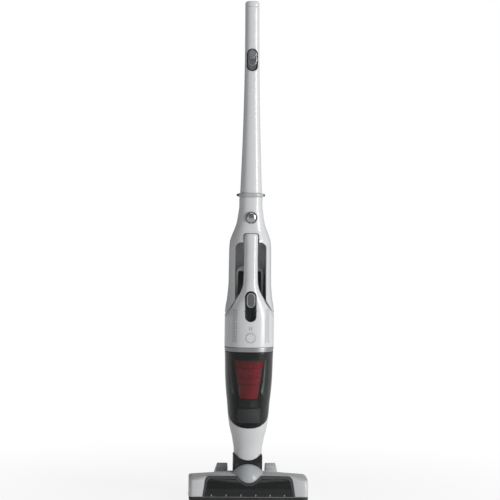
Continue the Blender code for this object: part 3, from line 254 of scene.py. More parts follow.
def carve(bm, *steps):
    """The mesh after Booleans, each given as (operation, bmesh)."""
    body = object_of("body", bm)
    cutters = []
    for operation, other in steps:
        cutter = object_of("cutter", other)
        cutters.append(cutter)
        modifier = body.modifiers.new("cut", "BOOLEAN")
        modifier.operation, modifier.solver, modifier.object = operation, "EXACT", cutter
    bpy.context.view_layer.update()
    graph = bpy.context.evaluated_depsgraph_get()
    result = bmesh.new()
    result.from_object(body, graph)
    bmesh.ops.remove_doubles(result, verts=result.verts, dist=2e-6)
    for obj in [body] + cutters:
        mesh = obj.data
        bpy.data.objects.remove(obj)
        bpy.data.meshes.remove(mesh)
    return result


def cut(bm, *others):
    return carve(bm, *[("DIFFERENCE", other) for other in others])


def common(bm, *others):
    return carve(bm, *[("INTERSECT", other) for other in others])


def soften(bm, width, test=None, angle=38, segments=2):
    """Bevels the sharp edges that pass the test."""
    sharp = [edge for edge in bm.edges
             if len(edge.link_faces) == 2 and edge.calc_face_angle(0) > math.radians(angle)
             and (test is None or all(test(vert.co) for vert in edge.verts))]
    bevel(bm, sharp, width, segments, clamp_overlap=False, loop_slide=True)
    return bm


def from_cad(node, width=0.0, angle=38, segments=2):
    """A merged copy of a CAD node's mesh with its edges softened."""
    bm = bmesh.new()
    bm.from_mesh(bpy.data.objects[node].data)
    bmesh.ops.remove_doubles(bm, verts=bm.verts, dist=1e-5)
    bmesh.ops.dissolve_limit(bm, angle_limit=math.radians(0.8), verts=bm.verts, edges=bm.edges)
    return soften(bm, width, angle=angle, segments=segments) if width else bm


def piece(name, bm, material, body, *replaced, angle=35):
    """A finished piece on its body, standing for the CAD nodes named after it."""
    obj = object_of(name, bm)
    obj.data.shade_smooth()
    obj.data.set_sharp_from_angle(angle=math.radians(angle))
    obj.data.materials.append(material)
    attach(obj, body)
    if replaced:
        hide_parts(*replaced)
    return obj


def dress(material, *nodes):
    """Gives CAD nodes whose shape stays a better material."""
    for node in nodes:
        obj = bpy.data.objects[node]
        for slot in obj.material_slots:
            slot.material = material


# ---------------------------------------------------------------- finishes

def new_group(name, inputs, outputs):
    """An empty shader node group with named sockets, each given as (name, type, default)."""
    group = bpy.data.node_groups.new(name, "ShaderNodeTree")
    for label, kind, value in inputs:
        socket = group.interface.new_socket(name=label, in_out="INPUT", socket_type="NodeSocket" + kind)
        if value is not None:
            socket.default_value = value
    for label, kind in outputs:
        group.interface.new_socket(name=label, in_out="OUTPUT", socket_type="NodeSocket" + kind)
    return group, group.nodes.new("NodeGroupInput"), group.nodes.new("NodeGroupOutput")


def math_node(tree, operation, first, second=None, clamp=False):
    node = tree.nodes.new("ShaderNodeMath")
    node.operation, node.use_clamp = operation, clamp
    for socket, value in zip(node.inputs, (first, second)):
        if isinstance(value, (int, float)):
            socket.default_value = value
        elif value is not None:
            tree.links.new(value, socket)
    return node.outputs[0]


def noise_node(tree, vector, scale, detail=3.0, roughness=0.55):
    node = tree.nodes.new("ShaderNodeTexNoise")
    node.inputs["Detail"].default_value = detail
    node.inputs["Roughness"].default_value = roughness
    tree.links.new(vector, node.inputs["Vector"])
    if isinstance(scale, (int, float)):
        node.inputs["Scale"].default_value = scale
    else:
        tree.links.new(scale, node.inputs["Scale"])
    return node.outputs["Fac"]


def mix_node(tree, share, first, second, kind="MIX"):
    node = tree.nodes.new("ShaderNodeMix")
    node.data_type, node.blend_type = "RGBA", kind
    for index, value in ((0, share), (6, first), (7, second)):
        if isinstance(value, (int, float)):
            node.inputs[index].default_value = value
        elif isinstance(value, tuple):
            node.inputs[index].default_value = (*value, 1.0)
        else:
            tree.links.new(value, node.inputs[index])
    return node.outputs[2]


def range_node(tree, value, a, b, c, d, smooth=False):
    node = tree.nodes.new("ShaderNodeMapRange")
    node.interpolation_type = "SMOOTHSTEP" if smooth else "LINEAR"
    tree.links.new(value, node.inputs["Value"])
    for label, number in (("From Min", a), ("From Max", b), ("To Min", c), ("To Max", d)):
        node.inputs[label].default_value = number
    return node.outputs["Result"]


def make_grain_group():
    """Moulding grain: a fine height, and a slow mottle from 0 to 1."""
    group, given, out = new_group(
        "moulding_grain", [("Vector", "Vector", None), ("Scale", "Float", 900.0)],
        [("Height", "Float"), ("Mottle", "Float")])
    fine = noise_node(group, given.outputs["Vector"], given.outputs["Scale"], 4.0)
    pits = group.nodes.new("ShaderNodeTexVoronoi")
    group.links.new(given.outputs["Vector"], pits.inputs["Vector"])
    group.links.new(given.outputs["Scale"], pits.inputs["Scale"])
    both = math_node(group, "MULTIPLY_ADD", pits.outputs["Distance"], 0.4)
    group.links.new(fine, both.node.inputs[2])
    group.links.new(both, out.inputs["Height"])
    slow = noise_node(group, given.outputs["Vector"], 26.0, 5.0, 0.6)
    group.links.new(range_node(group, slow, 0.30, 0.70, 0.0, 1.0, True), out.inputs["Mottle"])
    return group


def make_use_group():
    """Traces of use: smudges, fine scuffs, dust that settles on what faces up, and worn edges, each from 0 to 1."""
    group, given, out = new_group(
        "traces_of_use", [("Vector", "Vector", None), ("Spread", "Float", 1.0)],
        [("Smudge", "Float"), ("Scuff", "Float"), ("Dust", "Float"), ("Edge", "Float")])
    vector = given.outputs["Vector"]

    def put_out(label, value):
        group.links.new(math_node(group, "MULTIPLY", value, given.outputs["Spread"]), out.inputs[label])

    smudge = noise_node(group, vector, 14.0, 6.0, 0.65)
    put_out("Smudge", range_node(group, smudge, 0.42, 0.66, 0.0, 1.0, True))
    stretch = group.nodes.new("ShaderNodeMapping")
    stretch.inputs["Scale"].default_value = (1.0, 1.0, 0.06)
    group.links.new(vector, stretch.inputs["Vector"])
    scuff = noise_node(group, stretch.outputs[0], 620.0, 2.0, 0.5)
    scuff = range_node(group, scuff, 0.66, 0.74, 0.0, 1.0)
    where = noise_node(group, vector, 9.0, 2.0)
    where = range_node(group, where, 0.50, 0.62, 0.0, 1.0, True)
    put_out("Scuff", math_node(group, "MULTIPLY", scuff, where))
    geometry = group.nodes.new("ShaderNodeNewGeometry")
    split = group.nodes.new("ShaderNodeSeparateXYZ")
    group.links.new(geometry.outputs["Normal"], split.inputs[0])
    upward = range_node(group, split.outputs["Z"], 0.55, 1.0, 0.0, 1.0, True)
    specks = noise_node(group, vector, 260.0, 5.0, 0.7)
    specks = range_node(group, specks, 0.46, 0.70, 0.0, 1.0)
    put_out("Dust", math_node(group, "MULTIPLY", upward, specks))
    edge = range_node(group, geometry.outputs["Pointiness"], 0.53, 0.62, 0.0, 1.0, True)
    chips = range_node(group, noise_node(group, vector, 120.0, 4.0, 0.7), 0.40, 0.62, 0.0, 1.0, True)
    put_out("Edge", math_node(group, "MULTIPLY", edge, chips))
    return group


GRAIN = make_grain_group()
USE = make_use_group()
DUST_COLOUR = (0.52, 0.50, 0.47)


def place_group(tree, group, vector, label, value):
    node = tree.nodes.new("ShaderNodeGroup")
    node.node_tree = group
    node.inputs[label].default_value = value
    tree.links.new(vector, node.inputs["Vector"])
    return node


def finish(name, colour, roughness, metallic=0.0, grain=900.0, depth=0.02, spread=1.0, vary=0.05,
           coat=0.0, tone=None, edge_tone=None, brushed=None):
    """A material with moulding grain, uneven colour and gloss, dust, scuffs and worn edges."""
    material = bpy.data.materials.new(name)
    material.use_nodes = True
    tree = material.node_tree
    shader = tree.nodes["Principled BSDF"]
    where = tree.nodes.new("ShaderNodeTexCoord").outputs["Object"]
    grain_vector = where
    if brushed:
        mapping = tree.nodes.new("ShaderNodeMapping")
        mapping.inputs["Scale"].default_value = brushed
        tree.links.new(where, mapping.inputs["Vector"])
        grain_vector = mapping.outputs[0]
    texture = place_group(tree, GRAIN, grain_vector, "Scale", grain)
    use = place_group(tree, USE, where, "Spread", spread)

    def traces(label, amount):
        return math_node(tree, "MULTIPLY", use.outputs[label], amount)

    other = tone or tuple(channel * (1 - vary) for channel in colour)
    shade = mix_node(tree, texture.outputs["Mottle"], colour, other)
    worn = edge_tone or tuple(min(1.0, channel * 1.15 + 0.04) for channel in colour)
    scuffed = tuple(channel * 0.6 + 0.12 for channel in colour)
    for label, amount, tint in (("Edge", 0.6, worn), ("Scuff", 0.22, scuffed), ("Dust", 0.16, DUST_COLOUR)):
        shade = mix_node(tree, traces(label, amount), shade, tint)
    tree.links.new(shade, shader.inputs["Base Color"])

    gloss = math_node(tree, "MULTIPLY_ADD", use.outputs["Scuff"], 0.25)
    gloss.node.inputs[2].default_value = roughness
    gloss = math_node(tree, "ADD", gloss, traces("Smudge", 0.10))
    tree.links.new(math_node(tree, "ADD", gloss, traces("Dust", 0.30), clamp=True), shader.inputs["Roughness"])

    bump = tree.nodes.new("ShaderNodeBump")
    bump.inputs["Strength"].default_value = 0.35
    bump.inputs["Distance"].default_value = depth * 0.001
    height = math_node(tree, "SUBTRACT", texture.outputs["Height"], use.outputs["Scuff"])
    tree.links.new(height, bump.inputs["Height"])
    tree.links.new(bump.outputs["Normal"], shader.inputs["Normal"])
    shader.inputs["Metallic"].default_value = metallic
    shader.inputs["Coat Weight"].default_value = coat
    shader.inputs["Coat Roughness"].default_value = 0.06
    return material


def see_through(material, base, rim, spread=(0.15, 0.95)):
    """Makes a finish smoky: base is its cover face on, rim near its outline."""
    tree = material.node_tree
    shader = tree.nodes["Principled BSDF"]
    facing = tree.nodes.new("ShaderNodeLayerWeight")
    facing.inputs["Blend"].default_value = 0.35
    haze = next(node for node in tree.nodes if node.type == "GROUP" and node.node_tree == USE)
    cover = range_node(tree, facing.outputs["Facing"], *spread, base, rim, True)
    film = math_node(tree, "MULTIPLY", haze.outputs["Smudge"], 0.05)
    tree.links.new(math_node(tree, "ADD", cover, film, clamp=True), shader.inputs["Alpha"])
    return material


white = finish("white_gloss", (0.80, 0.81, 0.82), 0.22, grain=1100.0, depth=0.010, spread=0.8, vary=0.03, coat=0.35)
head_white = finish("head_pale_blue_grey", (0.70, 0.72, 0.735), 0.24, grain=1000.0, depth=0.012, vary=0.04, coat=0.3)
dome_grey = finish("dome_blue_grey", (0.52, 0.55, 0.57), 0.28, grain=1000.0, depth=0.012, vary=0.04, coat=0.2)
silver = finish("silver_plated", (0.62, 0.63, 0.65), 0.20, metallic=1.0, grain=700.0, depth=0.010, vary=0.06)
satin = finish("satin_silver", (0.50, 0.51, 0.53), 0.34, metallic=0.75, grain=1500.0, vary=0.06)
ring_silver = finish("ring_silver", (0.42, 0.43, 0.44), 0.33, metallic=0.6, grain=1300.0, vary=0.06)
track_dark = finish("track_green_black", (0.012, 0.022, 0.020), 0.22, depth=0.01, coat=0.4)
slider_grey = finish("slider_grey", (0.17, 0.175, 0.18), 0.42, metallic=0.3, grain=1600.0, depth=0.03)
battery_black = finish("battery_black", (0.012, 0.013, 0.014), 0.16, depth=0.01, coat=0.5)
dark_plastic = finish("dark_plastic", (0.045, 0.047, 0.048), 0.42, grain=1500.0, depth=0.05)
yoke_black = finish("yoke_black", (0.018, 0.019, 0.020), 0.36, grain=1400.0, depth=0.04)
base_black = finish("base_black", (0.035, 0.036, 0.038), 0.55, grain=1500.0, depth=0.08, spread=1.6)
grey_plastic = finish("grey_plastic", (0.24, 0.25, 0.26), 0.45, grain=1500.0, depth=0.05)
housing_grey = finish("housing_grey", (0.60, 0.61, 0.62), 0.40, grain=1500.0, depth=0.04)
pale_grey = finish("pale_grey", (0.55, 0.56, 0.57), 0.32, grain=1300.0, coat=0.15)
cone_red = finish("cone_red", (0.80, 0.020, 0.045), 0.24, metallic=0.15, grain=1000.0, depth=0.012, coat=0.4,
                  tone=(0.66, 0.016, 0.036))
rubber = finish("rubber", (0.030, 0.030, 0.031), 0.72, grain=1900.0, depth=0.12, spread=2.0)
bristle_red = finish("bristle_red", (0.30, 0.020, 0.030), 0.85, grain=2600.0, depth=0.5, brushed=(1.0, 0.08, 0.08))
bristle_dark = finish("bristle_dark", (0.030, 0.030, 0.033), 0.80, grain=2600.0, depth=0.5, brushed=(1.0, 0.08, 0.08))
felt_red = finish("felt_red", (0.36, 0.022, 0.032), 0.92, grain=2200.0, depth=0.4)
steel = finish("steel", (0.56, 0.56, 0.57), 0.28, metallic=1.0, brushed=(1.0, 1.0, 0.04))
brass = finish("brass", (0.78, 0.56, 0.26), 0.26, metallic=1.0, depth=0.01)
board_green = finish("board_green", (0.018, 0.13, 0.055), 0.48, grain=1400.0, depth=0.05)
filter_paper = finish("filter_paper", (0.78, 0.78, 0.74), 0.90, grain=2400.0, depth=0.3, spread=1.8)
belt_rubber = finish("belt_rubber", (0.025, 0.025, 0.026), 0.66, grain=1700.0, depth=0.10)
spring_steel = finish("spring_steel", (0.48, 0.48, 0.50), 0.24, metallic=1.0, depth=0.01)
cup_smoke = see_through(finish("cup_smoke", (0.036, 0.039, 0.039), 0.09, depth=0.004, spread=0.6,
                               edge_tone=(0.30, 0.31, 0.31)), 0.26, 0.95, spread=(0.03, 0.42))
window_smoke = see_through(finish("window_smoke", (0.030, 0.032, 0.033), 0.10, depth=0.004, spread=0.6,
                                  edge_tone=(0.14, 0.14, 0.14)), 0.62, 0.90)
window_rim = finish("window_rim", (0.060, 0.062, 0.064), 0.30, grain=1200.0)
mark_pale = finish("mark_pale", (0.40, 0.41, 0.41), 0.50, grain=1200.0, depth=0.01)
slit_dark = finish("slit_dark", (0.010, 0.010, 0.011), 0.50, grain=1200.0, depth=0.01)


# ---------------------------------------------------------------- outer shape of the stick

def stations():
    """(height, half width, front, back) of the stick's sections, from the neck to the collar."""
    wide, neck, rail, crown = CUP_HALF, NECK_HALF, RAIL_HALF, CROWN_HALF
    front, back = CUP_FRONT, SPINE_BACK
    return [
        (LEAN_Z - 0.040, neck, -0.024, NECK_BACK),
        (LEAN_Z - 0.013, neck, -0.027, NECK_BACK),
        (LEAN_Z, blend(neck, wide, 0.09), -0.030, NECK_BACK),
        (LEAN_Z + 0.013, blend(neck, wide, 0.18), -0.034, NECK_BACK),
        (SEAT_Z - 0.042, blend(neck, wide, 0.33), -0.038, NECK_BACK),
        (SEAT_Z - 0.028, blend(neck, wide, 0.47), -0.042, blend(NECK_BACK, back, 0.28)),
        (SEAT_Z - 0.002, blend(neck, wide, 0.61), blend(0, front, 0.83), blend(NECK_BACK, back, 0.61)),
        (SEAT_Z + 0.018, blend(neck, wide, 0.68), blend(0, front, 0.87), blend(NECK_BACK, back, 0.78)),
        (blend(SEAT_Z, RING_Z, 0.33), blend(neck, wide, 0.80), blend(0, front, 0.92), back - 0.004),
        (blend(SEAT_Z, RING_Z, 0.57), blend(neck, wide, 0.90), blend(0, front, 0.965), back - 0.002),
        (RING_Z, blend(neck, wide, 0.97), front, back),
        (SHELL_Z, wide, front, back),
        (SHOULDER_Z, wide, front, back),
        (SHOULDER_Z + 0.014, blend(wide, rail, 0.16), front, back),
        (SHOULDER_Z + 0.033, blend(wide, rail, 0.60), front + 0.0025, back - 0.001),
        (GRIP_Z, rail, front + 0.007, back - 0.004),
        (GRIP_TOP - 0.036, rail - 0.0006, front + 0.0125, back - 0.006),
        (GRIP_TOP - 0.017, blend(rail, crown, 0.09), front + 0.016, back - 0.009),
        (GRIP_TOP - 0.004, blend(rail, crown, 0.28), front + 0.0205, back - 0.016),
        (GRIP_TOP + 0.010, blend(rail, crown, 0.54), front + 0.025, back - 0.023),
        (GRIP_TOP + 0.023, blend(rail, crown, 0.74), front + 0.028, back - 0.0285),
        (GRIP_TOP + 0.040, blend(rail, crown, 0.88), front + 0.0305, back - 0.0315),
        (COLLAR_Z - 0.018, crown, front + 0.0325, back - 0.0335),
        (COLLAR_Z, crown, front + 0.033, back - 0.034),
    ]


def unit_stations():
    """(height, half width, front, back) of the handheld's shell, from its foot to the grip's top."""
    s, g = SHOULDER_Z, GRIP_Z
    wide, slim, front = CUP_HALF, GRIP_HALF, CUP_FRONT
    return [
        (SHELL_Z, wide, front, SPINE_BACK),
        (s - 0.004, wide, front, SPINE_BACK),
        (s + 0.002, wide - 0.0022, front, SPINE_BACK - 0.004),
        (s + 0.010, wide - 0.0080, front + 0.0002, 0.030),
        (s + 0.022, blend(slim, wide, 0.59), front + 0.0010, 0.014),
        (s + 0.032, blend(slim, wide, 0.42), front + 0.0018, 0.004),
        (s + 0.042, blend(slim, wide, 0.245), front + 0.0030, -0.004),
        (s + 0.055, blend(slim, wide, 0.085), front + 0.0050, -0.011),
        (g, slim + 0.0004, front + 0.0078, -0.0150),
        (g + 0.020, slim - 0.0002, -0.0465, -0.016),
        (GRIP_TOP - 0.040, slim - 0.0005, -0.0455, -0.016),
        (GRIP_TOP - 0.006, slim, -0.0445, -0.017),
        (GRIP_TOP, slim - 0.0025, -0.0415, -0.019),
    ]


def section(z, table):
    """(half width, front, back) at a height, on a smooth curve through the stations."""
    if z <= table[0][0]:
        return table[0][1:]
    if z >= table[-1][0]:
        return table[-1][1:]
    i = max(k for k in range(len(table) - 1) if table[k][0] <= z)
    span = table[i + 1][0] - table[i][0]
    t = (z - table[i][0]) / span
    values = []
    for column in (1, 2, 3):
        def rise(k):
            return (table[k + 1][column] - table[k][column]) / (table[k + 1][0] - table[k][0])

        def slope(k):
            if k == 0:
                return rise(0)
            if k == len(table) - 1:
                return rise(k - 1)
            before, after = rise(k - 1), rise(k)
            return 0.0 if before * after <= 0 else 2 * before * after / (before + after)

        a, b = table[i][column], table[i + 1][column]
        values.append(
            a * (1 + 2 * t) * (1 - t) ** 2 + b * t * t * (3 - 2 * t)
            + span * (slope(i) * t * (1 - t) ** 2 - slope(i + 1) * t * t * (1 - t)))
    return tuple(values)


def section_ring(z, half, front, back, back_limit=1.0, count=RING_POINTS):
    middle, depth = (front + back) / 2, (back - front) / 2
    power = blend(FOOT_POWER, SECTION_POWER, min(1.0, max(0.0, (z - ROUND_BELOW) / ROUND_FADE)))
    points = []
    for i in range(count):
        angle = math.tau * i / count
        c, s = math.cos(angle), math.sin(angle)
        x = half * math.copysign(abs(c) ** (2 / power), c)
        y = middle + depth * math.copysign(abs(s) ** (2 / power), s)
        points.append((x, min(y, back_limit), z))
    return points


def skin(table, start, end, inset=0.0, back_limit=1.0, seam=0.0, step=0.003, count=RING_POINTS):
    """The solid inside the stations from start to end, drawn in by inset, its ends rounded by seam."""
    steps = max(2, round((end - start) / step))
    levels = [(blend(start, end, i / steps), 0.0) for i in range(steps + 1)]
    if seam:
        rim = [(0.0, 1.0), (0.12, 0.5), (0.45, 0.12), (1.0, 0.0)]
        levels = ([(start + seam * up, seam * draw) for up, draw in rim] + levels[1:-1]
                  + [(end - seam * up, seam * draw) for up, draw in reversed(rim)])
    rings = []
    for z, drawn in levels:
        half, front, back = section(z, table)
        pull = inset + drawn
        rings.append(section_ring(z, half - pull, front + pull, back - pull, min(back, back_limit) - pull
                                  if back_limit < 1 else 1.0, count))
    return drum(rings)


def seat_height(y):
    return SEAT_Z + SEAT_SLOPE * y


TABLE, UNIT_TABLE = stations(), unit_stations()


# ---------------------------------------------------------------- neck, frame and collar

def make_neck():
    neck = skin(TABLE, LEAN_Z - 0.040, SEAT_Z + 0.060)
    wide = CUP_HALF + 0.02
    foot = ([(-wide, SEAT_Z + 0.1), (-wide, LEAN_Z)] + arc(0, LEAN_Z, LEAN_RADIUS, 180, 360, 64)
            + [(wide, LEAN_Z), (wide, SEAT_Z + 0.1)])
    top = SEAT_Z + 0.15
    over = [(-0.10, seat_height(-0.10)), (SPINE_FRONT, seat_height(SPINE_FRONT)), (SPINE_FRONT, SPINE_FOOT),
            (0.10, SPINE_FOOT), (0.10, top), (-0.10, top)]
    neck = carve(
        neck,
        ("INTERSECT", prism(foot, "Y", -0.10, 0.10)),
        ("DIFFERENCE", prism(over, "X", -0.10, 0.10)),
        ("DIFFERENCE", rod("Y", 0, LEAN_Z, 0.0075, 0.007, NECK_BACK + 0.03)),
        ("DIFFERENCE", rod("Z", 0, DUCT_Y, DUCT_RADIUS, LEAN_Z - 0.06, SEAT_Z + 0.03, 0)))
    soften(neck, 0.0007)
    piece("neck_shell", neck, white, "stick", "lower_neck")
    # The dark gasket round the air way, laid on the sloping seat.
    ring = tube("Z", 0, DUCT_Y, DUCT_RADIUS + GAP, DUCT_RADIUS + 0.0030, -0.0004, 0.0002, 0.0002)
    for vert in ring.verts:
        vert.co.z += seat_height(vert.co.y)
    piece("cup_seat_gasket", ring, rubber, "stick")


def bell_flare():
    s = SHOULDER_Z
    return [(CUP_HALF - 0.0022, s + 0.004), (CUP_HALF - 0.0075, s + 0.010),
            (blend(GRIP_HALF, CUP_HALF, 0.60), s + 0.022), (OPENING_HALF - GAP, s + 0.0295)]


def frame_opening():
    """The arch's opening from the front, as (x, z), with the bell's flare below it."""
    half, corner, top = OPENING_HALF, 0.013, GRIP_TOP - 0.019
    notch, notch_top = 0.0168, top + 0.020
    right = (
        [(0.08, SPINE_FOOT - 0.05), (0.08, SHOULDER_Z + 0.0006), (CUP_HALF + 0.0004, SHOULDER_Z + 0.0006)]
        + [(x + GAP, z + GAP) for x, z in bell_flare()]
        + arc(half - corner, top - corner, corner, 0, 90, 16)
        + [(notch, top)]
        + arc(notch - 0.006, notch_top - 0.006, 0.006, 0, 90, 8)
    )
    return right + [(-x, z) for x, z in reversed(right)]


def spigot_bore(foot, top):
    return prism(rounded(-0.015, 0.015, -0.015, 0.013, 0.004), "Z", foot, top)


def make_frame():
    frame_split, dock_half = 0.018, high("dock_plate").x + GAP
    bell_top = SHOULDER_Z + 0.031
    dock_low, dock_high = low("dock_plate").z - GAP, high("dock_plate").z + GAP
    body = skin(TABLE, SPINE_FOOT + GAP, COLLAR_Z, seam=0.0006)
    groove = cut(block(-0.08, 0.08, frame_split, frame_split + GAP, SHOULDER_Z, COLLAR_Z + 0.01),
                 skin(TABLE, SHOULDER_Z - 0.01, COLLAR_Z + 0.02, inset=0.0006, step=0.006))
    body = cut(
        body,
        prism(frame_opening(), "Y", -0.10, 0.020),
        cut(prism(frame_opening(), "Y", 0.0198, SPINE_FRONT), block(-0.1, 0.1, 0.0, 0.1, bell_top, COLLAR_Z)),
        common(prism(frame_opening(), "Y", 0.0196, SPINE_FRONT),
               skin(TABLE, bell_top - 0.0002, COLLAR_Z, inset=0.0022, step=0.006)),
        rod("Y", 0, RELEASE_Z, RELEASE_RADIUS + GAP, -0.06, 0.012),
        block(-0.0055, 0.0055, -0.014, -0.003, GRIP_TOP - 0.005, RELEASE_Z),
        spigot_bore(COLLAR_Z - 0.0284, COLLAR_Z + 0.01),
        prism(rounded(-dock_half, dock_half, dock_low, dock_high, 0.006), "Y", 0.0511, 0.1),
        groove)
    soften(body, 0.0007, lambda co: co.z > SHOULDER_Z + 0.034)
    piece("arch_frame", body, white, "stick", "frame_front", "frame_back")
    # Dark strip of painted shade that lines the notch over the grip, darkening the gap round it.
    foot, top = GRIP_TOP - 0.0195, GRIP_TOP + 0.0009

    def notch(inset):
        half, corner = 0.0167 - inset, 0.006 - inset
        return ([(half, foot)] + arc(half - corner, top - inset - corner, corner, 0, 90, 8)
                + arc(-half + corner, top - inset - corner, corner, 90, 180, 8) + [(-half, foot)])

    shade_strip = cut(prism(notch(0.0), "Y", -0.0345, -0.0180),
               prism([(x, z if z > foot else foot - 0.001) for x, z in notch(0.0008)], "Y", -0.05, 0.0))
    piece("notch_seal", shade_strip, slit_dark, "stick")


def make_collar():
    middle = (COLLAR_Z + HANDLE_Z) / 2
    foot, top = COLLAR_Z + GAP, HANDLE_Z - GAP
    rings = []
    for up, draw in ((0, 0.0008), (0.0004, 0.0002), (0.0011, 0), (top - foot - 0.0011, 0),
                     (top - foot - 0.0004, 0.0002), (top - foot, 0.0008)):
        rings.append(section_ring(foot + up, 0.0276 - draw, -0.0265 + draw, 0.0255 - draw))
    band = cut(
        drum(rings), spigot_bore(COLLAR_Z - 0.01, HANDLE_Z + 0.01),
        *[block(*sorted((side * 0.010, side * 0.05)), -0.0049, 0.0049, middle - 0.0031, middle + 0.0031)
          for side in (-1, 1)])
    piece("collar_band", soften(band, 0.0003, lambda co: abs(co.x) > 0.016), pale_grey, "stick", "collar")
    for side, name in ((-1, "left"), (1, "right")):
        inner, outer = sorted((side * 0.0178, side * 0.0306))
        nub = block(inner, outer, -0.0045, 0.0045, middle - 0.0027, middle + 0.0027, 0.0009)
        for k in (-1, 0, 1):
            rib = block(side * 0.0306 - 0.0006, side * 0.0306, k * 0.0022 - 0.0004, k * 0.0022 + 0.0004,
                        middle - 0.0019, middle + 0.0019, 0.0002)
            bmesh.ops.translate(rib, verts=rib.verts, vec=(side * 0.00025, 0, 0))
            nub = joined(nub, rib)
        piece(f"handle_nub_{name}", nub, dark_plastic, f"handle_button_{name}", f"handle_button_{name}")


def make_release():
    face = section(RELEASE_Z, TABLE)[1]
    rim = face - 0.0005
    button = turned(
        [(0, rim - 0.0040), (0.0040, rim - 0.0038), (0.0075, rim - 0.0031), (0.0095, rim - 0.0022),
         (0.0106, rim - 0.0012), (0.0114, rim - 0.0003), (RELEASE_RADIUS, rim + 0.0006), (RELEASE_RADIUS, -0.0145),
         (0.0045, -0.0145), (0.0045, -0.0012), (0.0040, -0.0010), (0, -0.0010)], "Y", 0, RELEASE_Z, 72)
    hook = carve(block(-0.0045, 0.0045, -0.0135, -0.0105, GRIP_TOP + 0.0015, RELEASE_Z - 0.001, 0.0004),
                 ("UNION", block(-0.0045, 0.0045, -0.016, -0.0105, RELEASE_Z - 0.010, RELEASE_Z - 0.003)))
    piece("release_dome", joined(button, hook), silver, "release_button", "release_button")
    ring = tube("Y", 0, RELEASE_Z, RELEASE_RADIUS + GAP, RELEASE_RADIUS + 0.0018, rim - 0.0012, rim + 0.0030, 0.0003)
    piece("release_bezel", ring, satin, "stick")


def make_back_details():
    """The dock plate on the back of the frame, and its two screws."""
    piece("dock_plate_face", from_cad("dock_plate", 0.0005), grey_plastic, "stick", "dock_plate")
    back, top = high("dock_plate").y, high("dock_plate").z
    for z in (top - 0.010, top - 0.034):
        head = turned([(0, back + 0.0012), (0.0012, back + 0.0012), (0.0026, back + 0.0008), (0.0031, back - 0.0002),
                       (0, back - 0.0002)], "Y", 0, z, 32)
        slot = block(-0.0022, 0.0022, back + 0.0007, back + 0.002, z - 0.0004, z + 0.0004)
        cross = block(-0.0004, 0.0004, back + 0.0007, back + 0.002, z - 0.0022, z + 0.0022)
        piece(f"dock_screw_{round(z * 1000)}", cut(head, slot, cross), steel, "stick")


# ---------------------------------------------------------------- handle

def handle_section(z):
    """(half width, front, back) of the handle, which leans back towards the top."""
    share = (z - HANDLE_Z) / HANDLE_LENGTH
    half = 0.0156 + 0.0082 * max(0.0, 1 - share * 1.15) ** 1.9
    middle = 0.046 * share ** 1.6
    return half, middle - half, middle + half * 0.95


def handle_rings(levels):
    """Rings of the handle at (height, inset) levels."""
    rings = []
    for z, inset in levels:
        half, front, back = handle_section(z)
        rings.append(section_ring(z, half - inset, front + inset, back - inset, count=72))
    return rings


def tilt_at(z):
    """The matrix that lays a piece drawn flat at y = 0, z = 0 on the handle's front at a height."""
    step = 0.01
    rise = handle_section(z + step)[1] - handle_section(z - step)[1]
    return Matrix.Translation((0, handle_section(z)[1], z)) @ Matrix.Rotation(-math.atan2(rise, 2 * step), 4, "X")


SWITCH_PLACE = tilt_at(STICK_TOP - 0.1325)
SWITCH_HALF, SWITCH_HEIGHT = 0.012, 0.050


def laid(bm):
    bmesh.ops.transform(bm, matrix=SWITCH_PLACE, verts=bm.verts)
    return bm


def make_handle():
    steps = 64
    levels = [(HANDLE_Z, 0.0009), (HANDLE_Z + 0.0003, 0.0003), (HANDLE_Z + 0.0009, 0.0)]
    levels += [(blend(HANDLE_Z + 0.003, CAP_Z - 0.002, i / steps), 0.0) for i in range(steps + 1)]
    levels += [(CAP_Z - 0.0006, 0.0), (CAP_Z - 0.0001, 0.0003), (CAP_Z, 0.0006)]
    half = SWITCH_HEIGHT / 2
    tube_body = cut(
        drum(handle_rings(levels)),
        laid(prism(stadium(0, -half - GAP, half + GAP, SWITCH_HALF + GAP), "Y", -0.02, 0.008)))
    soften(tube_body, 0.0005, lambda co: co.z < CAP_Z - 0.01 and co.z > HANDLE_Z + 0.1)
    piece("handle_shell", tube_body, white, "handle", "handle_tube")
    spigot = prism(rounded(-0.0146, 0.0146, -0.0146, 0.0126, 0.004), "Z", COLLAR_Z - 0.028, HANDLE_Z + 0.002, 0.0008)
    piece("handle_spigot", spigot, pale_grey, "handle")
    ribs = [block(x - 0.0007, x + 0.0007, -0.0150, -0.0140, COLLAR_Z - 0.022, COLLAR_Z - 0.004, 0.0003)
            for x in (-0.0085, 0.0085)]
    piece("handle_spigot_ribs", joined(*ribs), pale_grey, "handle")

    top = [(CAP_Z + GAP, 0.0006), (CAP_Z + GAP + 0.0002, 0.0002), (CAP_Z + GAP + 0.0008, 0.0)]
    top += [(blend(CAP_Z + 0.002, STICK_TOP - 0.006, i / 4), 0.0) for i in range(5)]
    crown = 0.0060
    for angle in map(math.radians, (15, 30, 45, 58, 70, 80, 87)):
        top.append((STICK_TOP - crown + crown * math.sin(angle), crown * (1 - math.cos(angle))))
    rings = handle_rings(top)
    half_top, front, back = handle_section(STICK_TOP)
    rings.append(section_ring(STICK_TOP, half_top - 0.0075, front + 0.0075, back - 0.0075, count=72))
    piece("handle_end_cap", drum(rings), white, "handle", "handle_cap")


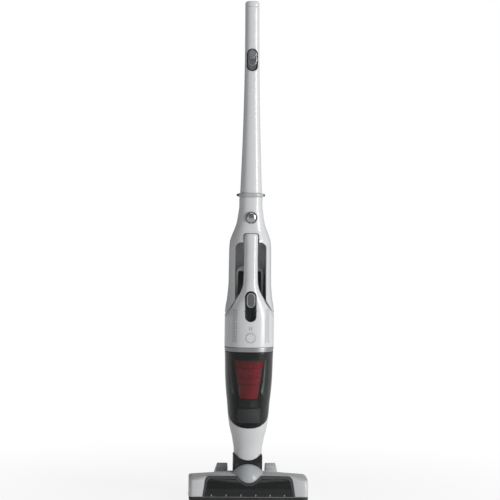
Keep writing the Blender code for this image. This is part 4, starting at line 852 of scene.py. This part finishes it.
def make_switch():
    half = SWITCH_HEIGHT / 2
    ring = cut(
        prism(stadium(0, -half, half, SWITCH_HALF), "Y", -0.0008, 0.006, 0.0004),
        prism(stadium(0, -half + 0.0018, half - 0.0018, SWITCH_HALF - 0.0018), "Y", -0.02, 0.0036))
    soften(ring, 0.0003, lambda co: co.y < 0.002)
    piece("switch_surround", laid(ring), track_dark, "handle", "switch_bezel")
    # Smooth lower plate of the switch.
    plate = prism(stadium(0, -half + 0.0024, 0.0, SWITCH_HALF - 0.0024), "Y", 0.0020, 0.0037, 0.0005)
    piece("switch_lower_plate", laid(plate), silver, "handle")
    low_end, high_end = -half + 0.0022 + 0.010, half - 0.0022
    parts = [prism(stadium(0, low_end, high_end, SWITCH_HALF - 0.0022), "Y", -0.0014, 0.0033, 0.0008)]
    for k in range(7):
        z = blend(high_end - 0.0055, high_end - 0.0195, k / 6)
        reach = 0.0072 - 0.0016 * abs(k - 3) / 3
        parts.append(block(-reach, reach, -0.0022, -0.0010, z - 0.0006, z + 0.0006, 0.00045))
    piece("switch_slider", laid(joined(*parts)), silver, "handle_switch", "handle_switch")


# ---------------------------------------------------------------- handheld unit

def housing_outline():
    """The battery housing from the front: an arch with a round top."""
    top, half, radius, foot = SHOULDER_Z + 0.103, 0.031, 0.018, SHOULDER_Z - 0.004
    return ([(half, foot)] + arc(half - radius, top - radius, radius, 0, 90, 16)
            + arc(-half + radius, top - radius, radius, 90, 180, 16) + [(-half, foot)])


TRACK_FOOT = SHELL_Z + 0.056
TRACK_TOP = TRACK_FOOT + 0.066
BUTTON_Z = SHELL_Z + 0.021


def unit_surface(grow=0.0, step=0.003):
    return skin(UNIT_TABLE, SHELL_Z, GRIP_TOP, -grow, UNIT_BACK + grow, step=step)


def make_unit():
    floor = SHOULDER_Z + 0.006
    outer = skin(UNIT_TABLE, SHELL_Z, GRIP_TOP, 0.0, UNIT_BACK, seam=0.0010)
    cavity = skin(UNIT_TABLE, SHELL_Z + 0.0035, GRIP_TOP - 0.0035, 0.0035, UNIT_BACK, step=0.006, count=48)
    shell = carve(
        outer,
        ("UNION", prism(housing_outline(), "Y", 0.016, UNIT_BACK, 0.0015)),
        ("DIFFERENCE", cavity),
        ("DIFFERENCE", rod("Z", 0, CORE_Y, 0.024, SHELL_Z - 0.01, SHELL_Z + 0.01, 0)),
        ("DIFFERENCE", prism(rounded(-0.0254, 0.0254, floor - GAP, floor + 0.0864, 0.004), "Y", -0.02, 0.0404)),
        ("DIFFERENCE", prism(stadium(0, TRACK_FOOT - GAP, TRACK_TOP + GAP, 0.0124), "Y", -0.08, -0.040)),
        ("DIFFERENCE", rod("Y", 0, BUTTON_Z, 0.0112, -0.08, -0.040)))
    soften(shell, 0.0005, lambda co: co.y < -0.035 or co.z > SHOULDER_Z)
    piece("unit_shell", shell, white, "handheld", "handheld_front", "handheld_rear")
    # Battery with an inset face.
    pack = prism(rounded(-0.025, 0.025, floor, floor + 0.086, 0.004), "Y", 0.016, 0.040, 0.0010)
    face = prism(rounded(-0.0215, 0.0215, floor + 0.004, floor + 0.082, 0.003), "Y", 0.0153, 0.0170, 0.0004)
    piece("battery_block", joined(pack, face), battery_black, "handheld", "battery_pack")

    track = cut(
        common(prism(stadium(0, TRACK_FOOT, TRACK_TOP, 0.012), "Y", -0.08, -0.047), unit_surface()),
        prism(stadium(0, TRACK_FOOT + 0.0018, TRACK_TOP - 0.0018, 0.0102), "Y", -0.09, -0.049))
    piece("slide_track", soften(track, 0.0004), track_dark, "handheld", "slider_track")


def make_slider():
    slider_low, slider_high = low("power_slider"), high("power_slider")
    foot, top, front, back = slider_low.z, slider_high.z, slider_low.y, slider_high.y
    half = slider_high.x
    knob = prism(stadium(0, foot, top, half), "Y", front + 0.0006, back, 0.0008)
    knob = cut(knob, prism(stadium(0, foot + 0.0022, top - 0.0022, half - 0.0022), "Y", -0.09, front + 0.0020))
    piece("slider_ring", soften(knob, 0.0003, lambda co: co.y < front + 0.003), satin, "power_slider", "power_slider")
    pad = [prism(stadium(0, foot + 0.0024, top - 0.0024, half - 0.0024), "Y", front + 0.0012, front + 0.0024, 0.0003)]
    for k in range(5):
        z = blend(foot + 0.0085, top - 0.0085, k / 4)
        pad.append(block(-0.0042, 0.0042, front + 0.0004, front + 0.0016, z - 0.0006, z + 0.0006, 0.00045))
    piece("slider_pad", joined(*pad), slider_grey, "power_slider")


def make_cup_button():
    face = common(rod("Y", 0, BUTTON_Z, 0.0108, -0.08, CUP_FRONT + 0.006), unit_surface())
    piece("cup_release", soften(face, 0.0006), white, "cup_button", "cup_button")
    ring = common(tube("Y", 0, BUTTON_Z, 0.0086, 0.0094, -0.08, -0.050), unit_surface(0.0002))
    piece("cup_release_ring", ring, pale_grey, "cup_button")


def surface_y(x, z):
    """The depth of the unit's front face at a place on it."""
    half, front, back = section(z, UNIT_TABLE)
    middle, depth = (front + back) / 2, (back - front) / 2
    return middle - depth * max(0.0, 1 - abs(x / half) ** SECTION_POWER) ** (1 / SECTION_POWER)


def vent_hole(x, z, side):
    """A small dark disc that lies on the shell's curve: painted shade in place of a hole's dark inside."""
    rise = surface_y(x + 0.001, z) - surface_y(x - 0.001, z)
    dot = bmesh.new()
    bmesh.ops.create_cone(dot, cap_ends=True, segments=12, radius1=0.0011, radius2=0.0011, depth=0.0006)
    bmesh.ops.transform(dot, verts=dot.verts, matrix=Matrix.Translation((side * x, surface_y(x, z) + 0.00022, z))
                        @ Matrix.Rotation(side * math.atan2(rise, 0.002), 4, "Z")
                        @ Matrix.Rotation(math.radians(90), 4, "X"))
    return dot


def make_unit_details():
    """Vent holes beside the switch as dark discs of painted shade, two indicator slits under it, and the seam round
    the sides.
    """
    rows, first, last = 13, SHELL_Z + 0.0126, SHELL_Z + 0.0856
    for name, side, nearest in (("left", -1, 0.0305), ("right", 1, 0.0335)):
        holes = []
        for column in range(3):
            x = nearest + 0.0033 * column
            for row in range(rows):
                z = blend(first, last, (row + 0.5 * (column % 2)) / rows)
                if x <= section(z, UNIT_TABLE)[0] - 0.006:
                    holes.append(vent_hole(x, z, side))
        piece(f"vent_holes_{name}", joined(*holes), slit_dark, "handheld")
    slits = []
    z = SHELL_Z + 0.0415
    for x in (-0.0018, 0.0026):
        y = surface_y(x, z)
        slits.append(block(x - 0.0005, x + 0.0005, y - 0.0001, y + 0.0006, z - 0.004, z + 0.004, 0.0001))
    piece("indicator_slits", joined(*slits), slit_dark, "handheld")
    seam = cut(
        common(block(-0.08, 0.08, -0.0002, 0.0002, SHELL_Z + 0.001, GRIP_TOP - 0.001), unit_surface(0.00008)),
        unit_surface(-0.001))
    piece("unit_side_seam", seam, slit_dark, "handheld")


# ---------------------------------------------------------------- dust cup and cyclone

def over_seat(rise):
    """The side outline of everything more than rise above the sloping seat."""
    front, back, top = -0.1, 0.06, RING_Z + 0.1
    return [(front, seat_height(front) + rise), (back, seat_height(back) + rise), (back, top), (front, top)]


def make_cup():
    outer = common(skin(TABLE, SEAT_Z - 0.055, RING_Z - GAP, 0.0, UNIT_BACK, seam=0.0008),
                   prism(over_seat(GAP), "X", -0.1, 0.1))
    inner = common(skin(TABLE, SEAT_Z - 0.055, RING_Z + 0.01, WALL, UNIT_BACK),
                   prism(over_seat(GAP + 0.0035), "X", -0.1, 0.1))
    cup = cut(outer, inner, rod("Z", 0, DUCT_Y, DUCT_RADIUS, SEAT_Z - 0.08, SEAT_Z + 0.03, 0))
    piece("cup_smoky_shell", soften(cup, 0.0006), cup_smoke, "cup", "dust_cup")
    collar = skin(TABLE, RING_Z, SHELL_Z - GAP, 0.0, UNIT_BACK, seam=0.0008, step=0.0015)
    collar = cut(collar, rod("Z", 0, CORE_Y, 0.036, RING_Z - 0.01, SHELL_Z + 0.01, 0, 72))
    piece("cup_top_ring", soften(collar, 0.0005), ring_silver, "cup", "cup_ring")
    # A dark shoulder inside the top of the cup, with the flange line under it.
    shoulder = skin(TABLE, RING_Z - 0.017, RING_Z - 0.0008, WALL + 0.0007, UNIT_BACK - WALL, step=0.004)
    shoulder = cut(shoulder, rod("Z", 0, CORE_Y, 0.0404, RING_Z - 0.03, RING_Z + 0.01, 0, 72))
    piece("cup_inner_shoulder", shoulder, dark_plastic, "cup")
    flange = tube("Z", 0, CORE_Y, 0.0402, 0.0424, RING_Z - 0.0192, RING_Z - 0.0176, 0.0005, 96)
    piece("cup_flange_line", flange, grey_plastic, "cup")


def make_cyclone():
    lip, top = RING_Z - 0.019, RING_Z - GAP
    foot = SEAT_Z + 0.029

    def radius(share):
        return blend(0.020, 0.033, share)

    outline = [(0.038, top), (0.0396, top), (0.040, top - 0.0004), (0.040, lip + 0.0008), (0.0392, lip), (0.0336, lip)]
    for share, after in ((1.0, 0.80), (0.80, 0.55), (0.55, 0.375), (0.375, 0.0)):
        z, z_after = blend(foot, lip, share), blend(foot, lip, after)
        r = radius(share) - (0.0012 if share < 1 else 0.0)
        outline += [(r, z - 0.0009), (r - 0.0002, z - 0.0016)]
        outline += [(radius(after) + 0.0002, z_after + 0.0014), (radius(after) + 0.0007, z_after + 0.0007),
                    (radius(after) + 0.0003, z_after)]
    outline += [(0.0190, foot), (0.0180, foot + 0.0004), (0.029, lip + 0.002), (0.038, lip + 0.002), (0.038, top)]
    piece("cyclone_shroud", turned(outline, "Z", 0, CORE_Y, 96), cone_red, "cup", "cyclone_cone")
    # Guide ribs round the shroud.
    ribs, count = [], 24
    middle = Matrix.Translation((0, CORE_Y, blend(foot, lip, 0.905)))
    reach = Matrix.Translation((radius(0.9) + 0.0002, 0, 0))
    lean = Matrix.Rotation(math.atan2(radius(1) - radius(0), lip - foot), 4, "Y")
    for k in range(count):
        rib = block(-0.0006, 0.0006, -0.0004, 0.0004, -0.0075, 0.0075)
        bmesh.ops.transform(rib, verts=rib.verts,
                            matrix=middle @ Matrix.Rotation(math.tau * k / count, 4, "Z") @ reach @ lean)
        ribs.append(rib)
    piece("cyclone_guide_ribs", joined(*ribs), cone_red, "cup")

    base_top = foot - GAP
    base_foot = base_top - 0.020
    base = common(turned([(0, base_foot), (0.0205, base_foot), (0.022, base_foot + 0.0015), (0.022, base_top - 0.004),
                          (0.0212, base_top - 0.0035), (0.0212, base_top - 0.0028), (0.022, base_top - 0.0023),
                          (0.022, base_top - 0.001), (0.021, base_top), (0, base_top)], "Z", 0, CORE_Y, 72),
                  prism(over_seat(0.0043), "X", -0.05, 0.05))
    piece("cyclone_dust_stop", base, dark_plastic, "cup", "cone_base")
    piece("inlet_elbow", from_cad("inlet_duct", 0.0012), grey_plastic, "cup", "inlet_duct")

    filter_low, filter_high = low("cup_filter").z, high("cup_filter").z
    folds, steps = 60, 240
    rings = []
    for z in (filter_low + 0.0018, filter_high - 0.0018):
        ring = []
        for angle in (math.tau * k / steps for k in range(steps)):
            reach = 0.0325 + 0.0011 * math.cos(angle * folds)
            ring.append((reach * math.cos(angle), CORE_Y + reach * math.sin(angle), z))
        rings.append(ring)
    pleats = cut(drum(rings), rod("Z", 0, CORE_Y, 0.0225, filter_low - 0.01, filter_high + 0.01, 0))
    piece("filter_pleats", pleats, filter_paper, "cup", "cup_filter")
    ends = joined(tube("Z", 0, CORE_Y, 0.0222, 0.034, filter_low, filter_low + 0.0022),
                  tube("Z", 0, CORE_Y, 0.0222, 0.034, filter_high - 0.0022, filter_high))
    piece("filter_end_rings", ends, felt_red, "cup")


# ---------------------------------------------------------------- floor head

def even(points, count):
    """As many points, evenly spaced, along a closed outline."""
    loop = [Vector(point) for point in points]
    loop.append(loop[0])
    lengths = [0.0]
    for a, b in zip(loop, loop[1:]):
        lengths.append(lengths[-1] + (b - a).length)
    result, i = [], 0
    for k in range(count):
        target = lengths[-1] * k / count
        while lengths[i + 1] < target:
            i += 1
        share = (target - lengths[i]) / (lengths[i + 1] - lengths[i])
        result.append(tuple(loop[i].lerp(loop[i + 1], share)))
    return result


def head_profile(inset, foot):
    """The cover's outline from the side, as (y, z), front to back over the top."""
    front, back, top = HEAD_FRONT + inset, HEAD_BACK - inset, HEAD_TOP - inset
    nose = 0.030 - inset
    return ([(back, foot)] + arc(back - 0.014, top - 0.020, 0.014, 0, 70, 8) + [(DUCT_Y, top)]
            + arc(front + nose, top - nose - 0.003, nose, 90, 180, 18) + [(front, foot)])


def head_solid(half, inset, foot, count=112):
    """The cover's outline carried across the head, rounded towards both ends."""
    rings = []
    angles = [0, 12, 24, 36, 48, 60, 70, 80, 90]
    for side, turns in ((-1, angles), (1, angles[::-1])):
        for angle in turns:
            x = side * (half - HEAD_CORNER * (1 - math.cos(math.radians(angle))))
            drawn_in = inset + HEAD_CORNER * (1 - math.sin(math.radians(angle)))
            rings.append([(x, y, z) for y, z in even(head_profile(drawn_in, foot), count)])
    return drum(rings)


def shoulders(bm):
    """Lets the head's top fall away towards both ends."""
    for vert in bm.verts:
        vert.co.z -= 0.008 * ease((abs(vert.co.x) - 0.082) / 0.044) * ease((vert.co.z - 0.044) / 0.014)
    return bm


def window_outline(grow=0.0, corner=0.010):
    foot, top, foot_z, top_z = 0.102 + grow, 0.095 + grow, TRAY_TOP - 0.010 - grow, 0.0545 + grow
    right = arc(top - corner, top_z - corner, corner, 90, 10, 10)
    return [(-foot, foot_z)] + [(-x, z) for x, z in reversed(right)] + right + [(foot, foot_z)]


def dome_solid(grow=0.0, fine=True):
    """The raised centre of the cover: a quarter of an ellipsoid, flat behind and below."""
    bm = bmesh.new()
    bmesh.ops.create_uvsphere(bm, u_segments=96 if fine else 48, v_segments=48 if fine else 24, radius=1.0)
    bmesh.ops.scale(bm, verts=bm.verts, vec=[radius + grow for radius in DOME_RADII])
    bmesh.ops.translate(bm, verts=bm.verts, vec=DOME_CENTRE)
    for point, normal in (((0, DOME_CENTRE[1] + grow, 0), (0, 1, 0)), ((0, 0, DOME_FOOT - grow), (0, 0, -1))):
        cut_off = bmesh.ops.bisect_plane(bm, geom=bm.verts[:] + bm.edges[:] + bm.faces[:], plane_co=point,
                                         plane_no=normal, clear_outer=True)
        rim = [item for item in cut_off["geom_cut"] if isinstance(item, bmesh.types.BMEdge)]
        bmesh.ops.holes_fill(bm, edges=rim, sides=0)
    bmesh.ops.recalc_face_normals(bm, faces=bm.faces)
    return bm


def window_band(*steps):
    """A thin raised skin over the window, carved by the steps, with the dome's place left out."""
    skin_over = cut(head_solid(HEAD_HALF - 0.0012, -0.0003, TRAY_TOP + 0.0006),
                    prism(head_profile(0.0004, 0.0025), "X", -HEAD_HALF - 0.01, HEAD_HALF + 0.01))
    return shoulders(carve(skin_over, *steps, ("DIFFERENCE", dome_solid(GAP, False))))


def make_head():
    ear_out, barrel_front = 0.0403, PITCH_Y - 0.014
    cover = cut(
        head_solid(HEAD_HALF, 0, TRAY_TOP + GAP),
        head_solid(HEAD_HALF - WALL, WALL, 0.0025),
        prism(window_outline(GAP), "Y", HEAD_FRONT - 0.05, WINDOW_BACK),
        block(-ear_out - GAP, ear_out + GAP, barrel_front - 0.002, HEAD_BACK + 0.05, -0.01, 0.10),
        dome_solid(GAP, False),
        rod("Z", 0, DUCT_Y, 0.0142, 0.03, 0.10, 0))
    cover = shoulders(soften(cover, 0.0006))
    bmesh.ops.triangulate(cover, faces=[face for face in cover.faces if len(face.verts) > 4])
    piece("head_shell", cover, head_white, "floor_head", "head_cover")
    glass_solid = cut(head_solid(HEAD_HALF - 0.001, 0, TRAY_TOP + GAP),
                      prism(head_profile(0.0022, 0.0025), "X", -HEAD_HALF - 0.01, HEAD_HALF + 0.01))
    glass = carve(glass_solid, ("INTERSECT", prism(window_outline(), "Y", HEAD_FRONT - 0.05, WINDOW_BACK - GAP)),
                  ("DIFFERENCE", dome_solid(GAP, False)))
    piece("brush_cover_glass", shoulders(soften(glass, 0.0004)), window_smoke, "floor_head", "brush_window")
    rim = window_band(
        ("INTERSECT", prism(window_outline(-0.0003), "Y", HEAD_FRONT - 0.05, WINDOW_BACK - 0.0008)),
        ("DIFFERENCE", prism(window_outline(-0.0052, 0.008), "Y", HEAD_FRONT - 0.06, 0.0)))
    piece("brush_cover_rim", rim, window_rim, "floor_head")
    arch = window_band(
        ("INTERSECT", dome_solid(0.0055, False)),
        ("INTERSECT", prism(window_outline(-0.0053), "Y", HEAD_FRONT - 0.05, WINDOW_BACK - 0.0008)))
    piece("brush_cover_arch", arch, window_rim, "floor_head")
    dome = cut(dome_solid(), rod("X", BRUSH_Y, BRUSH_Z, 0.0208, -0.05, 0.05, 0),
               rod("Z", 0, DUCT_Y, 0.0146, 0.03, 0.10, 0))
    piece("head_dome_cap", soften(dome, 0.0006, angle=60), dome_grey, "floor_head", "head_dome")
    piece("head_tray", from_cad("head_base", 0.0005), base_black, "floor_head", "head_base")
    strip = prism(rounded(-HEAD_HALF + 0.012, HEAD_HALF - 0.012, 0.0035, 0.0095, 0.0028), "Y",
                  HEAD_FRONT - 0.002, HEAD_FRONT - GAP, 0.0007)
    piece("bumper_strip", strip, rubber, "floor_head", "front_bumper")
    ticks = [block(x - 0.0009, x + 0.0009, HEAD_FRONT - 0.0006, HEAD_FRONT + 0.0004, 0.0125, 0.0165, 0.0003)
             for x in (-0.081, -0.049, -0.017, 0.015, 0.046, 0.077)]
    piece("window_ticks", joined(*ticks), mark_pale, "floor_head")
    line = block(-0.1035, 0.1035, HEAD_FRONT - 0.0007, HEAD_FRONT + 0.0004,
                 TRAY_TOP + 0.0003, TRAY_TOP + 0.0010, 0.0002)
    piece("window_foot_line", line, mark_pale, "floor_head")
    for side, name in ((-1, "left"), (1, "right")):
        screw = turned([(0, 0.0019), (0.0028, 0.0019), (0.0032, 0.0024), (0, 0.0024)], "Z", side * 0.112, 0.020, 24)
        piece(f"sole_screw_{name}", screw, steel, "floor_head")


def middle_of(node):
    return (low(node) + high(node)) / 2


def make_wheel(name, side):
    body, half = f"rear_wheel_{name}", 0.0065
    _, y, z = middle_of(body)
    x = side * 0.0565
    tyre = [(0.0098, half - 0.0012), (0.0105, half), (0.0138, half), (0.0147, half - 0.0008), (0.0150, half - 0.0020)]
    for groove in (0.0033, 0.0011):
        tyre += [(0.0150, groove + 0.0004), (0.0143, groove + 0.0002), (0.0143, groove - 0.0002),
                 (0.0150, groove - 0.0004)]
    hub = [(0.0030, half - 0.0010), (0.0045, half), (0.0056, half), (0.0062, half - 0.0014),
           (0.0090, half - 0.0018), (0.0098, half - 0.0008)]
    piece(f"wheel_tyre_{name}", turned(ring_loop(mirrored(tyre, x)), "X", y, z, 72), rubber, body, body)
    piece(f"wheel_hub_{name}", turned(ring_loop(mirrored(hub, x)), "X", y, z, 48), grey_plastic, body)


def make_wheel_arch(name, side):
    """The housing over a rear wheel, its outer side leaning in towards the top."""
    inner, outer, foot, top = 0.0635, 0.0710, 0.046, 0.068
    arch = from_cad(f"wheel_housing_{name}", 0.0016, segments=3)
    for vert in arch.verts:
        out = max(0.0, (abs(vert.co.x) - inner) / (outer - inner))
        vert.co.x -= side * 0.0065 * out * max(0.0, (vert.co.z - foot) / (top - foot))
    piece(f"wheel_arch_{name}", arch, housing_grey, "floor_head", f"wheel_housing_{name}")


def make_roller(name):
    roller = f"front_roller_{name}"
    x, y, z = middle_of(roller)
    end = high(roller).x - x
    shape = [(0, end), (0.0013, end), (0.0015, end - 0.0003), (0.0015, 0.006), (0.0048, 0.006), (0.0058, 0.0052),
             (0.0060, 0.004), (0.0060, 0.0008), (0.0055, 0.0004)]
    piece(f"sole_roller_{name}", turned(mirrored(shape, x), "X", y, z, 48), rubber, roller, roller)


def make_wheels():
    for side, name in ((-1, "left"), (1, "right")):
        make_wheel(name, side)
        make_wheel_arch(name, side)
        make_roller(name)


def make_brush():
    """A core with six twisted tufts of bristle."""
    left, right = low("brush_roll").x, high("brush_roll").x
    core = turned([(0.0034, left), (0.0142, left), (0.0146, left + 0.0005), (0.0146, right - 0.0005),
                   (0.0142, right), (0.0034, right), (0.0034, left)], "X", BRUSH_Y, BRUSH_Z, 64)
    piece("brush_core", core, dark_plastic, "brush", "brush_roll")
    for row in range(6):
        rings = []
        steps = 48
        for i in range(steps + 1):
            x = blend(left + 0.001, right - 0.001, i / steps)
            twist = math.radians(100) * i / steps + math.radians(60 * row)
            tooth = 0.0002 * math.sin(i * 2.1 + row)
            ring = []
            for offset, radius in ((-8, 0.0142), (-6.5, 0.0172), (-5.5, 0.0190 + tooth), (-2, 0.0194), (2, 0.0194),
                                   (5.5, 0.0190 - tooth), (6.5, 0.0172), (8, 0.0142)):
                angle = math.radians(offset) + twist
                ring.append((x, BRUSH_Y + radius * math.cos(angle), BRUSH_Z + radius * math.sin(angle)))
            rings.append(ring)
        piece(f"brush_tuft_row_{row + 1}", drum(rings), bristle_red if row % 2 else bristle_dark, "brush")


def make_yoke():
    piece("lean_yoke", from_cad("yoke", 0.0012, segments=3), yoke_black, "yoke", "yoke")
    front = low("yoke").y
    for side, name in ((-1, "left"), (1, "right")):
        x0, x1 = sorted((side * 0.0195, side * 0.0285))
        panel = prism(rounded(x0, x1, 0.0665, 0.0775, 0.0016), "Y", front - 0.0006, front + 0.001, 0.0005)
        piece(f"yoke_panel_{name}", panel, dark_plastic, "yoke")


def make_trim():
    """Finishes for the nodes whose shape stays."""
    dress(steel, "brush_shaft", "rear_axle_left", "rear_axle_right", "trunnion_left", "trunnion_right", "lean_pin",
          "spine_screw", "brush_bearing_left", "brush_bearing_right")
    dress(satin, "brush_motor", "suction_motor")
    dress(belt_rubber, "drive_belt")
    dress(dark_plastic, "brush_pulley", "motor_pulley", "head_duct", "motor_mount")
    dress(grey_plastic, "fan_impeller")
    dress(board_green, "control_board", "switch_board")
    dress(brass, "charge_contact_left", "charge_contact_right")
    dress(spring_steel, "release_spring")
    dress(felt_red, "lint_strip")


for make in (make_neck, make_frame, make_collar, make_release, make_back_details, make_handle, make_switch, make_unit,
             make_slider, make_cup_button, make_unit_details, make_cup, make_cyclone, make_head, make_wheels,
             make_brush, make_yoke, make_trim):
    make()


# ---------------------------------------------------------------- floor, light and camera

def make_floor():
    bm = bmesh.new()
    bmesh.ops.create_circle(bm, cap_ends=True, segments=96, radius=12.0)
    bmesh.ops.translate(bm, verts=bm.verts, vec=(0, 0, cad_box[0].z - 0.0003))
    floor = object_of("studio_floor", bm)
    material = bpy.data.materials.new("pale_floor")
    material.use_nodes = True
    tree = material.node_tree
    shader = tree.nodes["Principled BSDF"]
    shader.inputs["Base Color"].default_value = (0.90, 0.90, 0.90, 1.0)
    shader.inputs["Roughness"].default_value = 0.85
    shader.inputs["Specular IOR Level"].default_value = 0.1
    glow = tree.nodes.new("ShaderNodeEmission")
    glow.inputs["Color"].default_value = (1.0, 1.0, 1.0, 1.0)
    rays = tree.nodes.new("ShaderNodeLightPath")
    tree.links.new(range_node(tree, rays.outputs["Is Camera Ray"], 0.0, 1.0, FLOOR_LIGHT, 1.0),
                   glow.inputs["Strength"])
    place_node = tree.nodes.new("ShaderNodeTexCoord")
    length = tree.nodes.new("ShaderNodeVectorMath")
    length.operation = "LENGTH"
    tree.links.new(place_node.outputs["Object"], length.inputs[0])
    share = range_node(tree, length.outputs["Value"], 0.15, 1.1, 0.86, 1.0, True)
    mixer = tree.nodes.new("ShaderNodeMixShader")
    tree.links.new(share, mixer.inputs[0])
    tree.links.new(shader.outputs[0], mixer.inputs[1])
    tree.links.new(glow.outputs[0], mixer.inputs[2])
    tree.links.new(mixer.outputs[0], tree.nodes["Material Output"].inputs["Surface"])
    floor.data.materials.append(material)


def make_world():
    world = bpy.data.worlds.new("studio")
    bpy.context.scene.world = world
    world.use_nodes = True
    tree = world.node_tree
    tree.nodes.clear()
    rays = tree.nodes.new("ShaderNodeLightPath")
    bright, dim = tree.nodes.new("ShaderNodeBackground"), tree.nodes.new("ShaderNodeBackground")
    bright.inputs["Strength"].default_value = 1.0
    bright.inputs["Color"].default_value = (1.0, 1.0, 1.0, 1.0)
    dim.inputs["Color"].default_value = (0.97, 0.98, 1.0, 1.0)
    dim.inputs["Strength"].default_value = WORLD_LIGHT
    mixer, out = tree.nodes.new("ShaderNodeMixShader"), tree.nodes.new("ShaderNodeOutputWorld")
    tree.links.new(rays.outputs["Is Camera Ray"], mixer.inputs[0])
    tree.links.new(dim.outputs[0], mixer.inputs[1])
    tree.links.new(bright.outputs[0], mixer.inputs[2])
    tree.links.new(mixer.outputs[0], out.inputs["Surface"])


def add_panel(name, place_at, aim, width, height, power):
    data = bpy.data.lights.new(name, "AREA")
    data.shape, data.size, data.size_y, data.energy = "RECTANGLE", width, height, power
    lamp = bpy.data.objects.new(name, data)
    lamp.location = place_at
    lamp.rotation_euler = (Vector(aim) - Vector(place_at)).to_track_quat("-Z", "Y").to_euler()
    bpy.context.collection.objects.link(lamp)


def add_camera():
    data = bpy.data.cameras.new("camera")
    data.lens, data.sensor_width = CAMERA_LENS, 36.0
    data.clip_end = 60.0
    camera = bpy.data.objects.new("camera", data)
    side = math.radians(CAMERA_TURN)
    target = Vector(CAMERA_AIM)
    camera.location = target + Vector((CAMERA_DISTANCE * math.sin(side), -CAMERA_DISTANCE * math.cos(side),
                                       CAMERA_HEIGHT - target.z))
    camera.rotation_mode = "QUATERNION"
    toward = (target - camera.location).to_track_quat("-Z", "Y")
    camera.rotation_quaternion = toward @ Matrix.Rotation(math.radians(CAMERA_ROLL), 4, "Z").to_quaternion()
    bpy.context.collection.objects.link(camera)
    bpy.context.scene.camera = camera


WORLD_LIGHT = 0.14
FLOOR_LIGHT = 0.5
CAMERA_DISTANCE, CAMERA_LENS = 3.8, 124.5
CAMERA_TURN, CAMERA_ROLL = -3.0, 0.75
CAMERA_HEIGHT = 0.60
CAMERA_AIM = (-0.0005, 0.0, 0.5441)

make_floor()
make_world()
add_panel("key_light", (2.3, -1.75, 1.2), (0, 0, 0.5), 1.0, 2.2, 63.0)
add_panel("fill_light", (-1.8, -2.6, 1.0), (0, 0, 0.5), 1.4, 2.0, 3.0)
add_panel("top_light", (0.2, -0.3, 2.8), (0, 0, 0.3), 1.4, 1.4, 7.0)
add_camera()
bpy.context.scene.view_settings.view_transform = "Standard"
